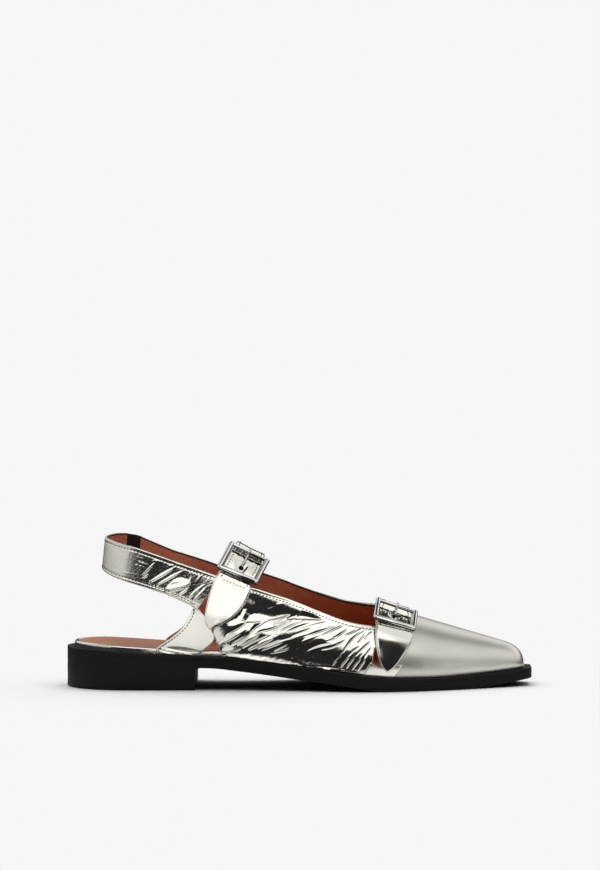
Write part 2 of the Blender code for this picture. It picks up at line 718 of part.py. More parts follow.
def build_prong(name, belt, finish):
    """Pin that hangs on the high bar by its ring and lies along the belt."""
    left, right, normal = buckle_points(belt)["high"]
    centre = (left + right) / 2
    along_bar = (right - left) / np.linalg.norm(right - left)
    radius = (HIGH_BAR_RADIUS + GAP + PRONG_RING_TUBE) * MM
    forward = np.cross(normal, along_bar)
    steps, sides = 14, 6
    turn = np.linspace(0, 2 * np.pi, steps, endpoint=False)[:, None, None]
    around = np.linspace(0, 2 * np.pi, sides, endpoint=False)[None, :, None]
    out = np.cos(turn) * normal + np.sin(turn) * forward
    tube = (PRONG_RING_TUBE * MM) * (np.cos(around) * out + 1.6 * np.sin(around) * along_bar)
    points = (centre + out * radius + tube).reshape(-1, 3)
    index = np.arange(steps * sides).reshape(steps, sides)
    ahead = np.roll(index, -1, 0)
    quads = np.stack([np.roll(index, -1, 1), np.roll(ahead, -1, 1), ahead, index], -1).reshape(-1, 4)
    ring = add_object(name, points, quads, finish)
    reach = belt["high_bar"] - belt["prong_length"] - radius / MM
    tip, up = belt_surface(belt, reach, belt["buckle_beside"])
    tip = tip + up * (STRAP_THICKNESS + 2.2 * GAP + 0.1 + PRONG_RADIUS) * MM
    towards = (tip - centre) / np.linalg.norm(tip - centre)
    start = centre + towards * radius
    pin = bar(name + "_pin", start, tip, PRONG_RADIUS, 8, helper=True, dome=0.6)
    combine(ring, pin, "UNION")


def main():
    for old in list(bpy.data.objects):
        bpy.data.objects.remove(old)
    root = bpy.data.objects.new("shoe", None)
    bpy.context.scene.collection.objects.link(root)
    rubber = material("black_rubber", (0.018, 0.018, 0.018), 0.55, 0.0)
    sock = material("brown_sock_leather", (0.36, 0.15, 0.08), 0.55, 0.0)
    silver = material("silver_leather", (0.72, 0.71, 0.66), 0.25, 0.9)
    elastic = material("black_elastic", (0.012, 0.012, 0.012), 0.8, 0.0)
    metal = material("bright_metal", (0.75, 0.74, 0.72), 0.12, 1.0)
    build_outsole(rubber)
    build_insole(sock)
    build_rand(silver)
    build_upper(silver)
    build_sling(silver, elastic)
    for place, belt in (("rear", REAR_BELT), ("front", FRONT_BELT)):
        build_belt(place + "_strap", belt, silver)
        build_buckle(place + "_buckle", belt, metal)
        build_prong(place + "_prong", belt, metal)


main()
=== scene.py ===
import math

import bpy
import numpy as np
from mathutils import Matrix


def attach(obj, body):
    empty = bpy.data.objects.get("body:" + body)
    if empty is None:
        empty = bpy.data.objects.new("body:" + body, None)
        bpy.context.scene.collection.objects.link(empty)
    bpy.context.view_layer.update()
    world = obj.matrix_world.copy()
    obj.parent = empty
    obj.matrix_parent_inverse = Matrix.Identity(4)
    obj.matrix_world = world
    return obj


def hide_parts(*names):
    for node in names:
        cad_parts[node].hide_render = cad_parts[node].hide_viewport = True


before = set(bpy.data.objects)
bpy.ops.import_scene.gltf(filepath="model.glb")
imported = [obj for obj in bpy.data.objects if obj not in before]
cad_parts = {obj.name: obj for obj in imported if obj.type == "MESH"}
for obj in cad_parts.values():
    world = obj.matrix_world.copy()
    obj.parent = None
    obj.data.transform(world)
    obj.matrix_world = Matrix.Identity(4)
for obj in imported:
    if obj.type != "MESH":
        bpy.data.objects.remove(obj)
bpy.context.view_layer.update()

# Outsole: one moulded unit of black rubber with a low square heel, a thin waist and a tread
# that turns up at the toe. Its edge is trimmed square, and the upper is cemented on to its top.
MM = 0.001
SOLE_LENGTH = 267.0
HEEL_RADIUS = 31.0
HEEL_FLAT = 0.15
TOE_CORNER = 4.0
BREAST = 74.4
SOLE_BEVEL = 0.7
TREAD_PITCH, TREAD_DEPTH = 4.8, 0.7
GAP = 0.3


def table(columns, *rows):
    """Rows of numbers as named columns."""
    return {name: np.array(column, float) for name, column in zip(columns.split(), zip(*rows))}


def rounded_line(xs, ys, reach):
    """The straight stretches through the points, averaged over a bell-shaped window of width reach."""
    step = 0.25
    fine = np.arange(xs[0] - reach, xs[-1] + reach, step)
    first_slope = (ys[1] - ys[0]) / (xs[1] - xs[0])
    last_slope = (ys[-1] - ys[-2]) / (xs[-1] - xs[-2])
    line = np.interp(fine, xs, ys)
    line += first_slope * np.minimum(fine - xs[0], 0) + last_slope * np.maximum(fine - xs[-1], 0)
    window = np.hanning(int(reach / step) | 1)
    smooth = np.convolve(line, window / window.sum(), mode="same")
    half = len(window) // 2
    smooth[:half], smooth[-half:] = line[:half], line[-half:]
    return lambda x: np.interp(x, fine, smooth)


SOLE_OUTLINE = table(
    "station lateral medial",
    (0, -31.5, 28.5), (30, -32.5, 29.5), (55, -33, 29), (75, -32.8, 27.2),
    (95, -33.2, 25.2), (115, -35.2, 25), (135, -38.7, 28.5), (155, -42, 35),
    (170, -43, 39.8), (185, -42.2, 42.8), (200, -39, 42.6), (215, -33.6, 39),
    (230, -26.8, 33.2), (245, -19.2, 26.4), (258, -12.2, 20), (268, -6.8, 15.2),
)
SOLE_TOP = table(
    "station height",
    (0, 22.8), (18, 22.4), (36, 21.2), (55, 20), (74, 19.1), (92, 18.4), (116, 16.4),
    (142, 12.6), (169, 8.8), (186, 7.3), (214, 7), (243, 8.3), (268, 10.3),
)
SOLE_UNDERSIDE = table(
    "station height",
    (74.4, 12.5), (86, 12.2), (111, 9.2), (133, 6.3), (152, 3.9), (168, 1.4), (178, 0),
    (236, 0), (253, 2.1), (268, 4.5),
)
sole_top = rounded_line(SOLE_TOP["station"], SOLE_TOP["height"], 16.0)
sole_underside = rounded_line(SOLE_UNDERSIDE["station"], SOLE_UNDERSIDE["height"], 9.0)
lateral_line = rounded_line(SOLE_OUTLINE["station"], SOLE_OUTLINE["lateral"], 22.0)
medial_line = rounded_line(SOLE_OUTLINE["station"], SOLE_OUTLINE["medial"], 22.0)
ALL_STATIONS = np.arange(0, SOLE_LENGTH, 0.5)
MID_ACROSS = (lateral_line(ALL_STATIONS).min() + medial_line(ALL_STATIONS).max()) / 2
HEEL_CENTRE = (SOLE_OUTLINE["lateral"][0] + SOLE_OUTLINE["medial"][0]) / 2


def in_frame(station, across, height):
    """Station along the shoe, place across it and height, in millimetres, as points of the frame."""
    station, across, height = np.broadcast_arrays(station, across, height)
    return np.stack([station - SOLE_LENGTH / 2, across - MID_ACROSS, height], -1) * MM


def passed(x, start, end):
    """Share of the way from start to end that x has gone, held at 0 before and at 1 beyond."""
    return np.clip((x - start) / (end - start), 0, 1)


def round_end(distance, radius):
    """Share of the full width at a distance from a half-round end: the circle's own half chord."""
    reach = passed(distance, 0, radius)
    return np.sqrt(1 - (1 - reach) ** 2)


def outline(station, inset, back, tip, corner):
    """Both edges of the sole's plan drawn in by inset: half round at the back, cut off at the toe
    with a quarter circle at each corner."""
    width = round_end(station - back + HEEL_FLAT, HEEL_RADIUS - back + HEEL_FLAT)
    past = np.clip((station - (tip - corner)) / corner, 0, 1)
    pulled = corner * (1 - np.sqrt(1 - past**2))
    lateral = HEEL_CENTRE + (lateral_line(station) + inset - HEEL_CENTRE) * width + pulled
    medial = HEEL_CENTRE + (medial_line(station) - inset - HEEL_CENTRE) * width - pulled
    return lateral, medial


def spaced_stations(back, tip, corner, step):
    """Stations by equal turns round the heel and the toe's corners, and by equal steps between."""
    turn = np.radians(np.linspace(0, 90, 34))
    heel = back + (HEEL_RADIUS - back) * (1 - np.cos(turn))
    toe = tip - corner + corner * np.sin(np.radians(np.linspace(0, 90, 12)))
    middle = np.arange(heel[-1] + step, toe[0] - step / 2, step)
    return np.concatenate([heel, middle, toe])


def outward(points, faces):
    """The faces, all turned round if the body that they close has a negative volume."""
    a, b, c, d = (points[faces[:, k]] for k in range(4))
    volume = np.sum(a * (np.cross(b, c) + np.cross(c, d)))
    return faces if volume > 0 else faces[:, ::-1]


def rings_solid(rings, round_on=False):
    """Points and faces of a body through rings of points. The ends are closed by strips of quads
    between a ring's two halves, or the last ring joins the first where the path goes round."""
    count, around = rings.shape[:2]
    index = np.arange(count * around).reshape(count, around)
    ahead = np.roll(index, -1, axis=0) if round_on else index[1:]
    here = index if round_on else index[:-1]
    faces = np.stack([here, np.roll(here, -1, 1), np.roll(ahead, -1, 1), ahead], -1).reshape(-1, 4)
    if not round_on:
        half = around // 2
        left, right = np.arange(half), around - 1 - np.arange(half)
        for ring, order in ((index[0], slice(None)), (index[-1], slice(None, None, -1))):
            cap = np.stack([ring[left[:-1]], ring[right[:-1]], ring[right[1:]], ring[left[1:]]], -1)
            faces = np.concatenate([faces, cap[:, order]])
    points = rings.reshape(-1, 3)
    return points, outward(points, faces)


def add_piece(name, bodies, finish, nodes, sharp_deg=45.0):
    """One smooth-shaded mesh of one or several closed bodies, riding on the shoe."""
    points, faces, start = [], [], 0
    for body_points, body_faces in bodies:
        points.append(body_points)
        faces.append(body_faces + start)
        start += len(body_points)
    mesh = bpy.data.meshes.new(name)
    mesh.from_pydata(np.concatenate(points), [], np.concatenate(faces))
    mesh.materials.append(finish)
    mesh.shade_smooth()
    mesh.set_sharp_from_angle(angle=math.radians(sharp_deg))
    piece = bpy.data.objects.new(name, mesh)
    bpy.context.scene.collection.objects.link(piece)
    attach(piece, "root")
    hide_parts(*nodes)
    return piece


def operator_pair(operation):
    """An operator of Shade and its reflected form: each adds a Math node to the tree."""
    return (
        lambda shade, other: shade.math(operation, shade, other),
        lambda shade, other: shade.math(operation, other, shade),
    )


class Shade:
    """A socket of a material's node tree. Arithmetic on it adds Math nodes."""

    def __init__(self, tree, socket=None):
        self.tree = tree
        self.socket = socket

    def node(self, kind, settings=None, values=None, output=0):
        """A node of that kind: its settings and ramp stops first, then values and links of its sockets."""
        made = self.tree.nodes.new("ShaderNode" + kind)
        for name, value in (settings or {}).items():
            if name == "stops":
                ramp = made.color_ramp
                while len(ramp.elements) < len(value):
                    ramp.elements.new(0.5)
                for element, (place, colour) in zip(ramp.elements, value):
                    element.position = place
                    element.color = (*colour, 1.0)
            else:
                setattr(made, name, value)
        for name, value in (values or {}).items():
            if isinstance(value, Shade):
                self.tree.links.new(value.socket, made.inputs[name])
            else:
                made.inputs[name].default_value = value
        return Shade(self.tree, made.outputs[output])

    def math(self, operation, *terms):
        """A Math node on numbers and sockets."""
        return self.node("Math", {"operation": operation}, dict(enumerate(terms)))

    __add__, __radd__ = operator_pair("ADD")
    __sub__, __rsub__ = operator_pair("SUBTRACT")
    __mul__, __rmul__ = operator_pair("MULTIPLY")
    __truediv__, __rtruediv__ = operator_pair("DIVIDE")
    __pow__, __rpow__ = operator_pair("POWER")


def new_finish(name):
    """A material, its shader's sockets and the object's own coordinates, where node maths starts."""
    made = bpy.data.materials.new(name)
    made.use_nodes = True
    sockets = made.node_tree.nodes["Principled BSDF"].inputs
    return made, sockets, Shade(made.node_tree).node("TexCoord", output=3)


def noise(place, scale, detail=3.0, roughness=0.5, distortion=0.0):
    """Cloudy noise from 0 to 1; scale is in waves a metre."""
    values = {"Vector": place, "Scale": scale, "Detail": detail, "Roughness": roughness}
    return place.node("TexNoise", None, {**values, "Distortion": distortion})


def stretched(place, scale, turn=(0.0, 0.0, 0.0)):
    """Coordinates turned and stretched, so that a pattern runs along one direction."""
    return place.node("Mapping", None, {"Vector": place, "Scale": scale, "Rotation": turn})


def ramp(factor, *stops):
    """A colour by a factor from 0 to 1, blended straight between stops of (place, colour)."""
    return factor.node("ValToRGB", {"stops": stops}, {"Fac": factor})


def bump(height, depth, strength=1.0, under=None):
    """A shading normal from a height of 0 to 1 that stands for depth metres."""
    values = {"Height": height, "Distance": depth, "Strength": strength}
    return height.node("Bump", None, {**values, "Normal": under} if under else values)


def link(sockets, **varying):
    """Feeds what changes over the surface into the shader's sockets."""
    for name, value in varying.items():
        value.tree.links.new(value.socket, sockets[name.replace("_", " ")])


def black_rubber():
    """Matt moulded rubber: near black with grey bloom in patches, a fine pitted grain and faint scuffs."""
    made, sockets, place = new_finish("black_rubber")
    cloud = noise(place, 60.0, 4.0, 0.6)
    grain = noise(place, 1900.0, 2.0)
    scuff = noise(stretched(place, (40.0, 40.0, 900.0)), 1.0, 5.0, 0.65)
    tone = ramp(cloud, (0.3, (0.0052, 0.0052, 0.005)), (0.75, (0.0098, 0.0098, 0.0092)))
    link(sockets, Base_Color=tone, Roughness=0.5 + 0.14 * cloud + 0.08 * scuff)
    link(sockets, Normal=bump(grain + 0.5 * scuff, 0.00006, 0.55))
    sockets["Specular IOR Level"].default_value = 0.16
    return made


def outsole_body():
    """Rings across the shoe: over the underside with its tread grooves, up the inner edge with a
    shallow welt line, back over the top, and down the outer edge."""
    stations = spaced_stations(0.0, SOLE_LENGTH, TOE_CORNER, 0.8)
    breast = BREAST + np.array([-1.0, -0.3, 0.0, 0.35, 1.1, 2.2])
    stations = np.concatenate([stations[np.abs(stations - BREAST - 0.6) > 1.9], breast])
    stations.sort()
    edges = outline(stations, 0.0, 0.0, SOLE_LENGTH, TOE_CORNER)
    lateral, medial, s = (x[:, None] for x in (*edges, stations))
    top = sole_top(s)
    shank = np.interp(s - BREAST, [0.0, 0.35, 1.1, 2.2], [10.6, 11.5, 12.1, 12.3])
    under = np.where(s < BREAST - 0.9, 0.0, np.where(s < BREAST - 0.1, 0.5, sole_underside(s)))
    under = np.where((s >= BREAST - 0.1) & (s <= BREAST + 2.3), shank, under)
    b = SOLE_BEVEL
    across_share = np.concatenate([[0.0, 0.04], np.linspace(0.08, 0.92, 22), [0.96, 1.0]])[None, :]
    floor_across = lateral + b + (medial - lateral - 2 * b) * across_share
    heel_tread = passed(s, 8.0, 11.0) * passed(s, 66.0, 63.0)
    fore_tread = passed(s, 176.0, 180.0) * passed(s, 238.0, 234.0)
    inside = passed(across_share, 0.08, 0.11) * passed(across_share, 0.92, 0.89)
    groove = np.clip(2.4 * np.cos(2 * np.pi * s / TREAD_PITCH) - 1.2, 0, 1)
    under_grid = under + TREAD_DEPTH * groove * inside * (heel_tread + fore_tread)
    # Edge rows: share of the height between the two bevels, and how deep the welt line is cut there
    rise = np.array([0.0, 0.12, 0.3, 0.5, 0.68, 0.78, 0.82, 0.86, 0.9, 1.0])[None, :]
    cut = np.array([0.0, 0.0, 0.0, 0.0, 0.0, 0.0, 0.22, 0.22, 0.0, 0.0])[None, :]
    wall = under + b + (top - under - 2 * b) * rise
    corner = np.radians([22.5, 45.0, 67.5])[None, :]
    low_round = b * (1 - np.cos(corner)), b * (1 - np.sin(corner))
    top_share = np.linspace(0, 1, 14)[None, :]
    across = [
        floor_across,
        medial - low_round[1],
        medial - cut,
        medial - low_round[0],
        medial - b + (lateral - medial + 2 * b) * top_share,
        lateral + low_round[1],
        lateral + cut[:, ::-1],
        lateral + low_round[0],
    ]
    height = [
        under_grid,
        under + low_round[0],
        wall,
        top - low_round[1],
        top + 0 * top_share,
        top - low_round[0],
        wall[:, ::-1],
        under + low_round[1],
    ]
    return rings_solid(in_frame(s, np.concatenate(across, 1), np.concatenate(height, 1)))


rubber = black_rubber()
add_piece("outsole_rubber", [outsole_body()], rubber, ["outsole"])

# Insole: a soft brown leather sock glued over its board, turned down at the edge. It shows as the
# bare footbed at the open heel, a little worn into shallow hollows where the foot rests.
INSOLE_BACK, INSOLE_TIP = 6.8, 259.6
INSOLE_HEEL_INSET, INSOLE_FORE_INSET = 6.8, 6.2
INSOLE_HEEL_THICKNESS, INSOLE_FORE_THICKNESS = 3.1, 2.4
INSOLE_CORNER, INSOLE_EDGE = 5.0, 0.9


def cell_edges(place, scale):
    """Distance from the edges of irregular cells; scale is in cells a metre."""
    return place.node("TexVoronoi", {"feature": "DISTANCE_TO_EDGE"}, {"Vector": place, "Scale": scale})


def brown_leather(name, light, dark, gloss):
    """Dyed smooth leather: mottled terracotta, pebbled grain with pores, and fine creases."""
    made, sockets, place = new_finish(name)
    cloud = noise(place, 45.0, 5.0, 0.6)
    streak = noise(stretched(place, (120.0, 500.0, 500.0)), 1.0, 4.0, 0.6)
    pebble = cell_edges(place, 1300.0)
    pores = noise(place, 3600.0, 2.0)
    mottle = 0.6 * cloud + 0.4 * streak
    tone = ramp(mottle, (0.32, dark), (0.66, light))
    grain = pebble.math("MINIMUM", pebble * 2.2, 1.0) + 0.35 * pores
    link(sockets, Base_Color=tone, Roughness=gloss + 0.16 * cloud - 0.05 * grain)
    link(sockets, Normal=bump(grain, 0.00007, 0.5, bump(streak, 0.0002, 0.35)))
    sockets["Specular IOR Level"].default_value = 0.2
    return made


def bell(x):
    """A smooth hump, 1 at 0 and nearly gone at 2: the exponential of minus the square."""
    return np.exp(-(x**2))


def insole_body():
    """Rings across the shoe: flat below, rounded at the edges, with shallow bell-shaped hollows for
    the heel and the ball."""
    stations = spaced_stations(INSOLE_BACK, INSOLE_TIP, INSOLE_CORNER, 1.5)
    fore = passed(stations, 94.0, 110.0)
    inset = INSOLE_HEEL_INSET + (INSOLE_FORE_INSET - INSOLE_HEEL_INSET) * fore
    lateral, medial = outline(stations, inset, INSOLE_BACK, INSOLE_TIP, INSOLE_CORNER)
    lateral, medial, s, fore = (x[:, None] for x in (lateral, medial, stations, fore))
    low = sole_top(s) + GAP
    high = low + INSOLE_HEEL_THICKNESS + (INSOLE_FORE_THICKNESS - INSOLE_HEEL_THICKNESS) * fore
    turn = np.radians([0.0, 30.0, 60.0, 90.0])[None, :]
    b = np.minimum(INSOLE_EDGE, (medial - lateral) / 4)
    floor_share, share = np.linspace(0, 1, 9)[None, :], np.linspace(0, 1, 25)[None, 1:-1]
    bowl = 0.45 * bell((s - 36.0) / 22.0) + 0.3 * bell((s - 175.0) / 26.0)
    across = [
        lateral + (medial - lateral) * floor_share,
        medial - b * (1 - np.cos(turn)),
        medial - b + (lateral - medial + 2 * b) * share,
        lateral + b * (1 - np.sin(turn)),
    ]
    height = [
        low + 0 * floor_share,
        high - INSOLE_EDGE + INSOLE_EDGE * np.sin(turn),
        high - bowl * np.sin(np.pi * share) ** 2,
        high - INSOLE_EDGE + INSOLE_EDGE * np.cos(turn),
    ]
    return rings_solid(in_frame(s, np.concatenate(across, 1), np.concatenate(height, 1)))


sock_leather = brown_leather("sock_leather", (0.50, 0.215, 0.115), (0.38, 0.145, 0.072), 0.5)
add_piece("insole_sock", [insole_body()], sock_leather, ["insole"])

# Heel rand: a narrow strip of silver leather rolled round the edge of the footbed at the open
# heel, sewn through to the board. It hides the sock's turned edge.
RAND_INSET, RAND_FRONT = 4.2, 94.0
RAND_ROUND, RAND_SIDE = 1.1, 1.9
SILVER_SHADED, SILVER_BRIGHT = (0.72, 0.705, 0.635), (0.79, 0.775, 0.705)
SILVER_CRACKED = (0.42, 0.41, 0.37, 1.0)


def unit(vectors):
    """Vectors of length 1."""
    return vectors / np.linalg.norm(vectors, axis=-1, keepdims=True)


def smoothstep(value, first, last):
    """Share from 0 to 1 as the value passes from first to last, eased at both ends."""
    return value.node("MapRange", {"interpolation_type": "SMOOTHSTEP"}, {"Value": value, 1: first, 2: last})


def axis_of(vector, axis):
    """One number of a vector: 0 along the shoe, 1 across it, 2 up."""
    return vector.node("SeparateXYZ", None, {0: vector}, axis)


def blend(share, first, second):
    """The first colour turning into the second as the share goes from 0 to 1."""
    return share.node("Mix", {"data_type": "RGBA"}, {0: share, 6: first, 7: second}, 2)


def silver_leather(name, rough, crackle, crease, brush, tone=1.0, dull_behind=-1.0):
    """Foil-coated leather: a warm silver metal film with cloudy gloss, a web of fine cracks, soft
    crumples of a few millimetres, and faint lines from brushing, each with its strength.
    Behind a given place along the shoe it is duller."""
    made, sockets, place = new_finish(name)
    cloud = noise(place, 70.0, 4.0, 0.55)
    fine = noise(place, 900.0, 3.0, 0.6)
    warp = place.node(
        "VectorMath",
        {"operation": "MULTIPLY_ADD"},
        {0: place.node("TexNoise", None, {"Vector": place, "Scale": 260.0, "Detail": 2.0}, 1),
         1: (0.0022, 0.0022, 0.0022), 2: place},
    )
    web = 1.0 - place.math("MINIMUM", cell_edges(warp, 330.0) * 15.0, 1.0)
    small_web = 1.0 - place.math("MINIMUM", cell_edges(warp, 850.0) * 13.0, 1.0)
    lines = noise(stretched(place, (1500.0, 60.0, 40.0)), 1.0, 3.0, 0.6)
    crumple = noise(warp, 330.0, 2.0, 0.5, 0.4)
    shaded, bright = ([tone * part for part in silver] for silver in (SILVER_SHADED, SILVER_BRIGHT))
    film = ramp(cloud, (0.3, shaded), (0.7, bright))
    link(sockets, Base_Color=blend(web * (0.4 * crackle), film, SILVER_CRACKED))
    dull = smoothstep(axis_of(place, 0), dull_behind + 0.014, dull_behind - 0.012)
    gloss = 0.06 * (cloud - 0.5) + 0.03 * fine + 0.1 * crackle * web
    link(sockets, Roughness=rough + gloss + 0.24 * dull)
    height = crackle * (0.6 * web + 0.2 * small_web) * -1.0 + 0.08 * fine + brush * lines
    folds = bump(crumple, 0.0011 * crease, 1.0)
    link(sockets, Normal=bump(height, 0.00011, 0.6, folds))
    sockets["Metallic"].default_value = 1.0
    return made


def rand_body():
    """A rolled section, upright with a round top, carried round the heel at a fixed inset."""
    turn = np.radians(np.linspace(1.5, 90, 40))
    heel = RAND_INSET + (HEEL_RADIUS - RAND_INSET) * (1 - np.cos(turn))
    half = np.concatenate([heel, np.arange(HEEL_RADIUS + 1.5, RAND_FRONT + 0.1, 1.5)])
    lateral, medial = outline(half, RAND_INSET, RAND_INSET, SOLE_LENGTH, TOE_CORNER)
    station = np.concatenate([half[::-1], half])
    across = np.concatenate([lateral[::-1], medial])
    along = unit(np.stack([np.gradient(station), np.gradient(across)], 1))
    inward = np.stack([along[:, 1], -along[:, 0]], 1)
    arc = np.radians(np.linspace(180, 0, 11))
    run = np.cumsum(np.hypot(np.gradient(station), np.gradient(across)))[:, None]
    pucker = 0.1 * np.sin(run * 1.9) * np.sin(run * 0.37 + 1.0)
    wide = 2 * RAND_ROUND
    depth = np.concatenate([[0.0, 0.0], RAND_ROUND * (1 + np.cos(arc)), [wide, wide, 1.5, 0.7]])
    rise = np.concatenate([[0.0, 1.0], RAND_SIDE + RAND_ROUND * np.sin(arc), [1.0, 0.0, 0.0, 0.0]])
    lifted = np.clip(rise - 1.0, 0, 1)
    rings = in_frame(
        station[:, None] + inward[:, :1] * depth,
        across[:, None] + inward[:, 1:] * depth,
        sole_top(station)[:, None] + GAP + rise + pucker * lifted,
    )
    return rings_solid(rings[:, np.r_[1 : rings.shape[1], 0]])


foil_smooth = silver_leather("silver_foil_smooth", rough=0.1, crackle=0.2, crease=0.04, brush=0.05)
add_piece("heel_rand_strip", [rand_body()], foil_smooth, ["heel_rand"])

# Vamp: satin silver leather pulled down over the toe of the last and cemented under the insole.
# It runs from the pointed, cut-off toe to the throat, with a brown lining stuck inside.
UPPER_BACK, UPPER_TIP = 2.2, 262.8
TOE_NOSE_START, TOE_NOSE_POWER, TOE_UPPER_CORNER = 250.0, 3.0, 5.0
WALL_BULGE, BACK_LEAN_STATION = 1.1, 80.0
SKIN, UPPER_WALL, GLUE = 0.9, 1.75, 0.05
LAST_RIDGE = table(
    "station height across power",
    (0, 110, -1.5, 2.2), (50, 104, -1, 2.2), (80, 90.5, 0, 2.2), (104, 76, 1, 2.2),
    (130, 65, 2.5, 2.2), (150, 57.2, 3.5, 2.2), (170, 50, 4, 2.2), (190, 42.8, 4.5, 2.2),
    (208, 37.3, 4.5, 2.2), (225, 32.4, 4.5, 2.2), (241, 27.7, 4.3, 2.3), (268, 19.8, 4.2, 2.4),
)
LEDGE = table("station width", (0, 2.0), (100, 2.0), (150, 3.2), (185, 3.8), (215, 3.4), (262, 3.0))
BACK_LEAN = table("height shift", (20, 0.0), (40, 9.0), (67, 18.6), (86, 20.6), (112, 22.0))
ridge_line = rounded_line(LAST_RIDGE["station"], LAST_RIDGE["height"], 24.0)
ridge_across = rounded_line(LAST_RIDGE["station"], LAST_RIDGE["across"], 24.0)
section_power = rounded_line(LAST_RIDGE["station"], LAST_RIDGE["power"], 24.0)
ledge_width = rounded_line(LEDGE["station"], LEDGE["width"], 20.0)
back_lean = rounded_line(BACK_LEAN["height"], BACK_LEAN["shift"], 10.0)


def nose_share(station):
    """Share of the ridge's height left over the toe's nose: a power curve that falls to the tip."""
    reach = passed(station, TOE_NOSE_START, UPPER_TIP)
    return (1 - reach**TOE_NOSE_POWER) ** (1 / TOE_NOSE_POWER)


def last_frame(station):
    """Edges, sole height, ridge height, ridge place and power of the last's section at a station."""
    lateral, medial = outline(station, ledge_width(station), UPPER_BACK, UPPER_TIP, TOE_UPPER_CORNER)
    low = sole_top(station) + GAP
    high = low + (ridge_line(station) - low) * nose_share(station)
    across = np.clip(ridge_across(station), lateral, medial)
    return lateral, medial, low, high, across, section_power(station)


def leaned(station, height):
    """Place along the shoe once the heel's back leans forward, fading out by the square to the waist."""
    share = 1 - passed(station, 0, BACK_LEAN_STATION)
    return station + back_lean(height) * share**2


def swell(rise, station):
    """Outward swell of the wall: a cubic in the height, most a third of the way up."""
    back = round_end(station - UPPER_BACK + HEEL_FLAT, HEEL_RADIUS)
    return WALL_BULGE * 6.75 * rise * (1 - rise) ** 2 * back * nose_share(station)


def last_section(station, turn):
    """Points of the last at a turn from 0, the outer edge, over the ridge to half a turn, the inner
    edge: a superellipse on each side of the ridge, with the swell."""
    lateral, medial, low, high, across, power = last_frame(station)
    rise = np.abs(np.sin(turn)) ** (2 / power)
    spread = np.abs(np.cos(turn)) ** (2 / power)
    edge = np.where(np.cos(turn) > 0, lateral, medial)
    side = np.where(np.cos(turn) > 0, -1.0, 1.0)
    height = low + (high - low) * rise
    place = across + (edge - across) * spread + side * swell(rise, station)
    return leaned(station, height), place, height


def last_wall(station, height, side):
    """Points of the last's outer (side -1) or inner (side 1) wall at a height, on the same curve."""
    lateral, medial, low, high, across, power = last_frame(station)
    rise = passed(height, low, high)
    edge = np.where(side < 0, lateral, medial)
    place = across + (edge - across) * (1 - rise**power) ** (1 / power) + side * swell(rise, station)
    return leaned(station, height), place, height


def grid_normals(grid, away):
    """Unit normals of a grid of points from its two directions, turned to the side that away points to."""
    normals = np.cross(np.gradient(grid, axis=0), np.gradient(grid, axis=1))
    normals /= np.maximum(np.linalg.norm(normals, axis=-1, keepdims=True), 1e-15)
    return normals * np.sign(np.sum(normals * away) or 1.0)


def wall_between(outer, inner):
    """Points and faces of a closed wall between two grids, with a rim all round."""
    rows, columns = outer.shape[:2]
    index = np.arange(rows * columns).reshape(rows, columns)
    quads = np.stack([index[:-1, :-1], index[1:, :-1], index[1:, 1:], index[:-1, 1:]], -1).reshape(-1, 4)
    rim = np.concatenate([index[:-1, 0], index[-1, :-1], index[:0:-1, -1], index[0, :0:-1]])
    ahead, below = np.roll(rim, -1), rows * columns
    sides = np.stack([ahead, rim, rim + below, ahead + below], -1)
    points = np.concatenate([outer.reshape(-1, 3), inner.reshape(-1, 3)])
    return points, outward(points, np.concatenate([quads, quads[:, ::-1] + below, sides]))


NEAR_EDGE = np.array([0.0, 0.12, 0.3, 0.6, 1.0, 1.6, 2.0, 2.4, 3.0])
STITCH_LINE = 6
SEAM_INSET, SEAM_DEPTH, SEAM_WIDTH, FLAT_RIM = NEAR_EDGE[STITCH_LINE], 0.16, 0.42, 0.4


def edge_shares(length, count):
    """Shares from 0 to 1 along lengths in millimetres: lines close together at both ends, where an
    edge is folded and stitched, then count equal steps. Where a length is short all draw together."""
    length = np.atleast_1d(length)[:, None]
    ends = NEAR_EDGE * np.minimum(1.0, length / 9.0) / length
    last = ends[:, -1:]
    middle = last + (1 - 2 * last) * np.linspace(0, 1, count)
    return np.concatenate([ends[:, :-1], middle, 1 - ends[:, -2::-1]], 1)


def from_edges(grid, *sides):
    """Distance in millimetres of every grid point from the named sides of the grid, or from all four,
    measured along its rows and columns."""
    down = np.linalg.norm(np.diff(grid, axis=0), axis=-1) / MM
    along = np.linalg.norm(np.diff(grid, axis=1), axis=-1) / MM
    down = np.concatenate([np.zeros((1, grid.shape[1])), np.cumsum(down, 0)])
    along = np.concatenate([np.zeros((grid.shape[0], 1)), np.cumsum(along, 1)], 1)
    reach = {"first_row": down, "last_row": down[-1:] - down}
    reach.update({"first_column": along, "last_column": along[:, -1:] - along})
    return np.minimum.reduce([reach[side] for side in sides or reach])


def turned_edge(distance, radius=0.6):
    """Drop of a folded edge: a quarter circle of that radius."""
    left = 1 - passed(distance, 0, radius)
    return -radius * 0.75 * (1 - np.sqrt(1 - left**2))


def seam_groove(distance):
    """Shallow bell-shaped trough that a row of stitches pulls in along an edge."""
    return -SEAM_DEPTH * bell((distance - SEAM_INSET) / SEAM_WIDTH)


def raised(grid, normals, height):
    """The grid moved along its normals by a height in millimetres, which may vary over it."""
    return grid + normals * (np.broadcast_to(height, grid.shape[:2]) * MM)[..., None]


def leaf(grid, normals, outer, inner):
    """A closed skin between two heights over a grid on the last."""
    return wall_between(raised(grid, normals, outer), raised(grid, normals, inner))


def every_second(count):
    """The numbers of every second line out of count, and of the last one."""
    return np.append(np.arange(0, count - 1, 2), count - 1)


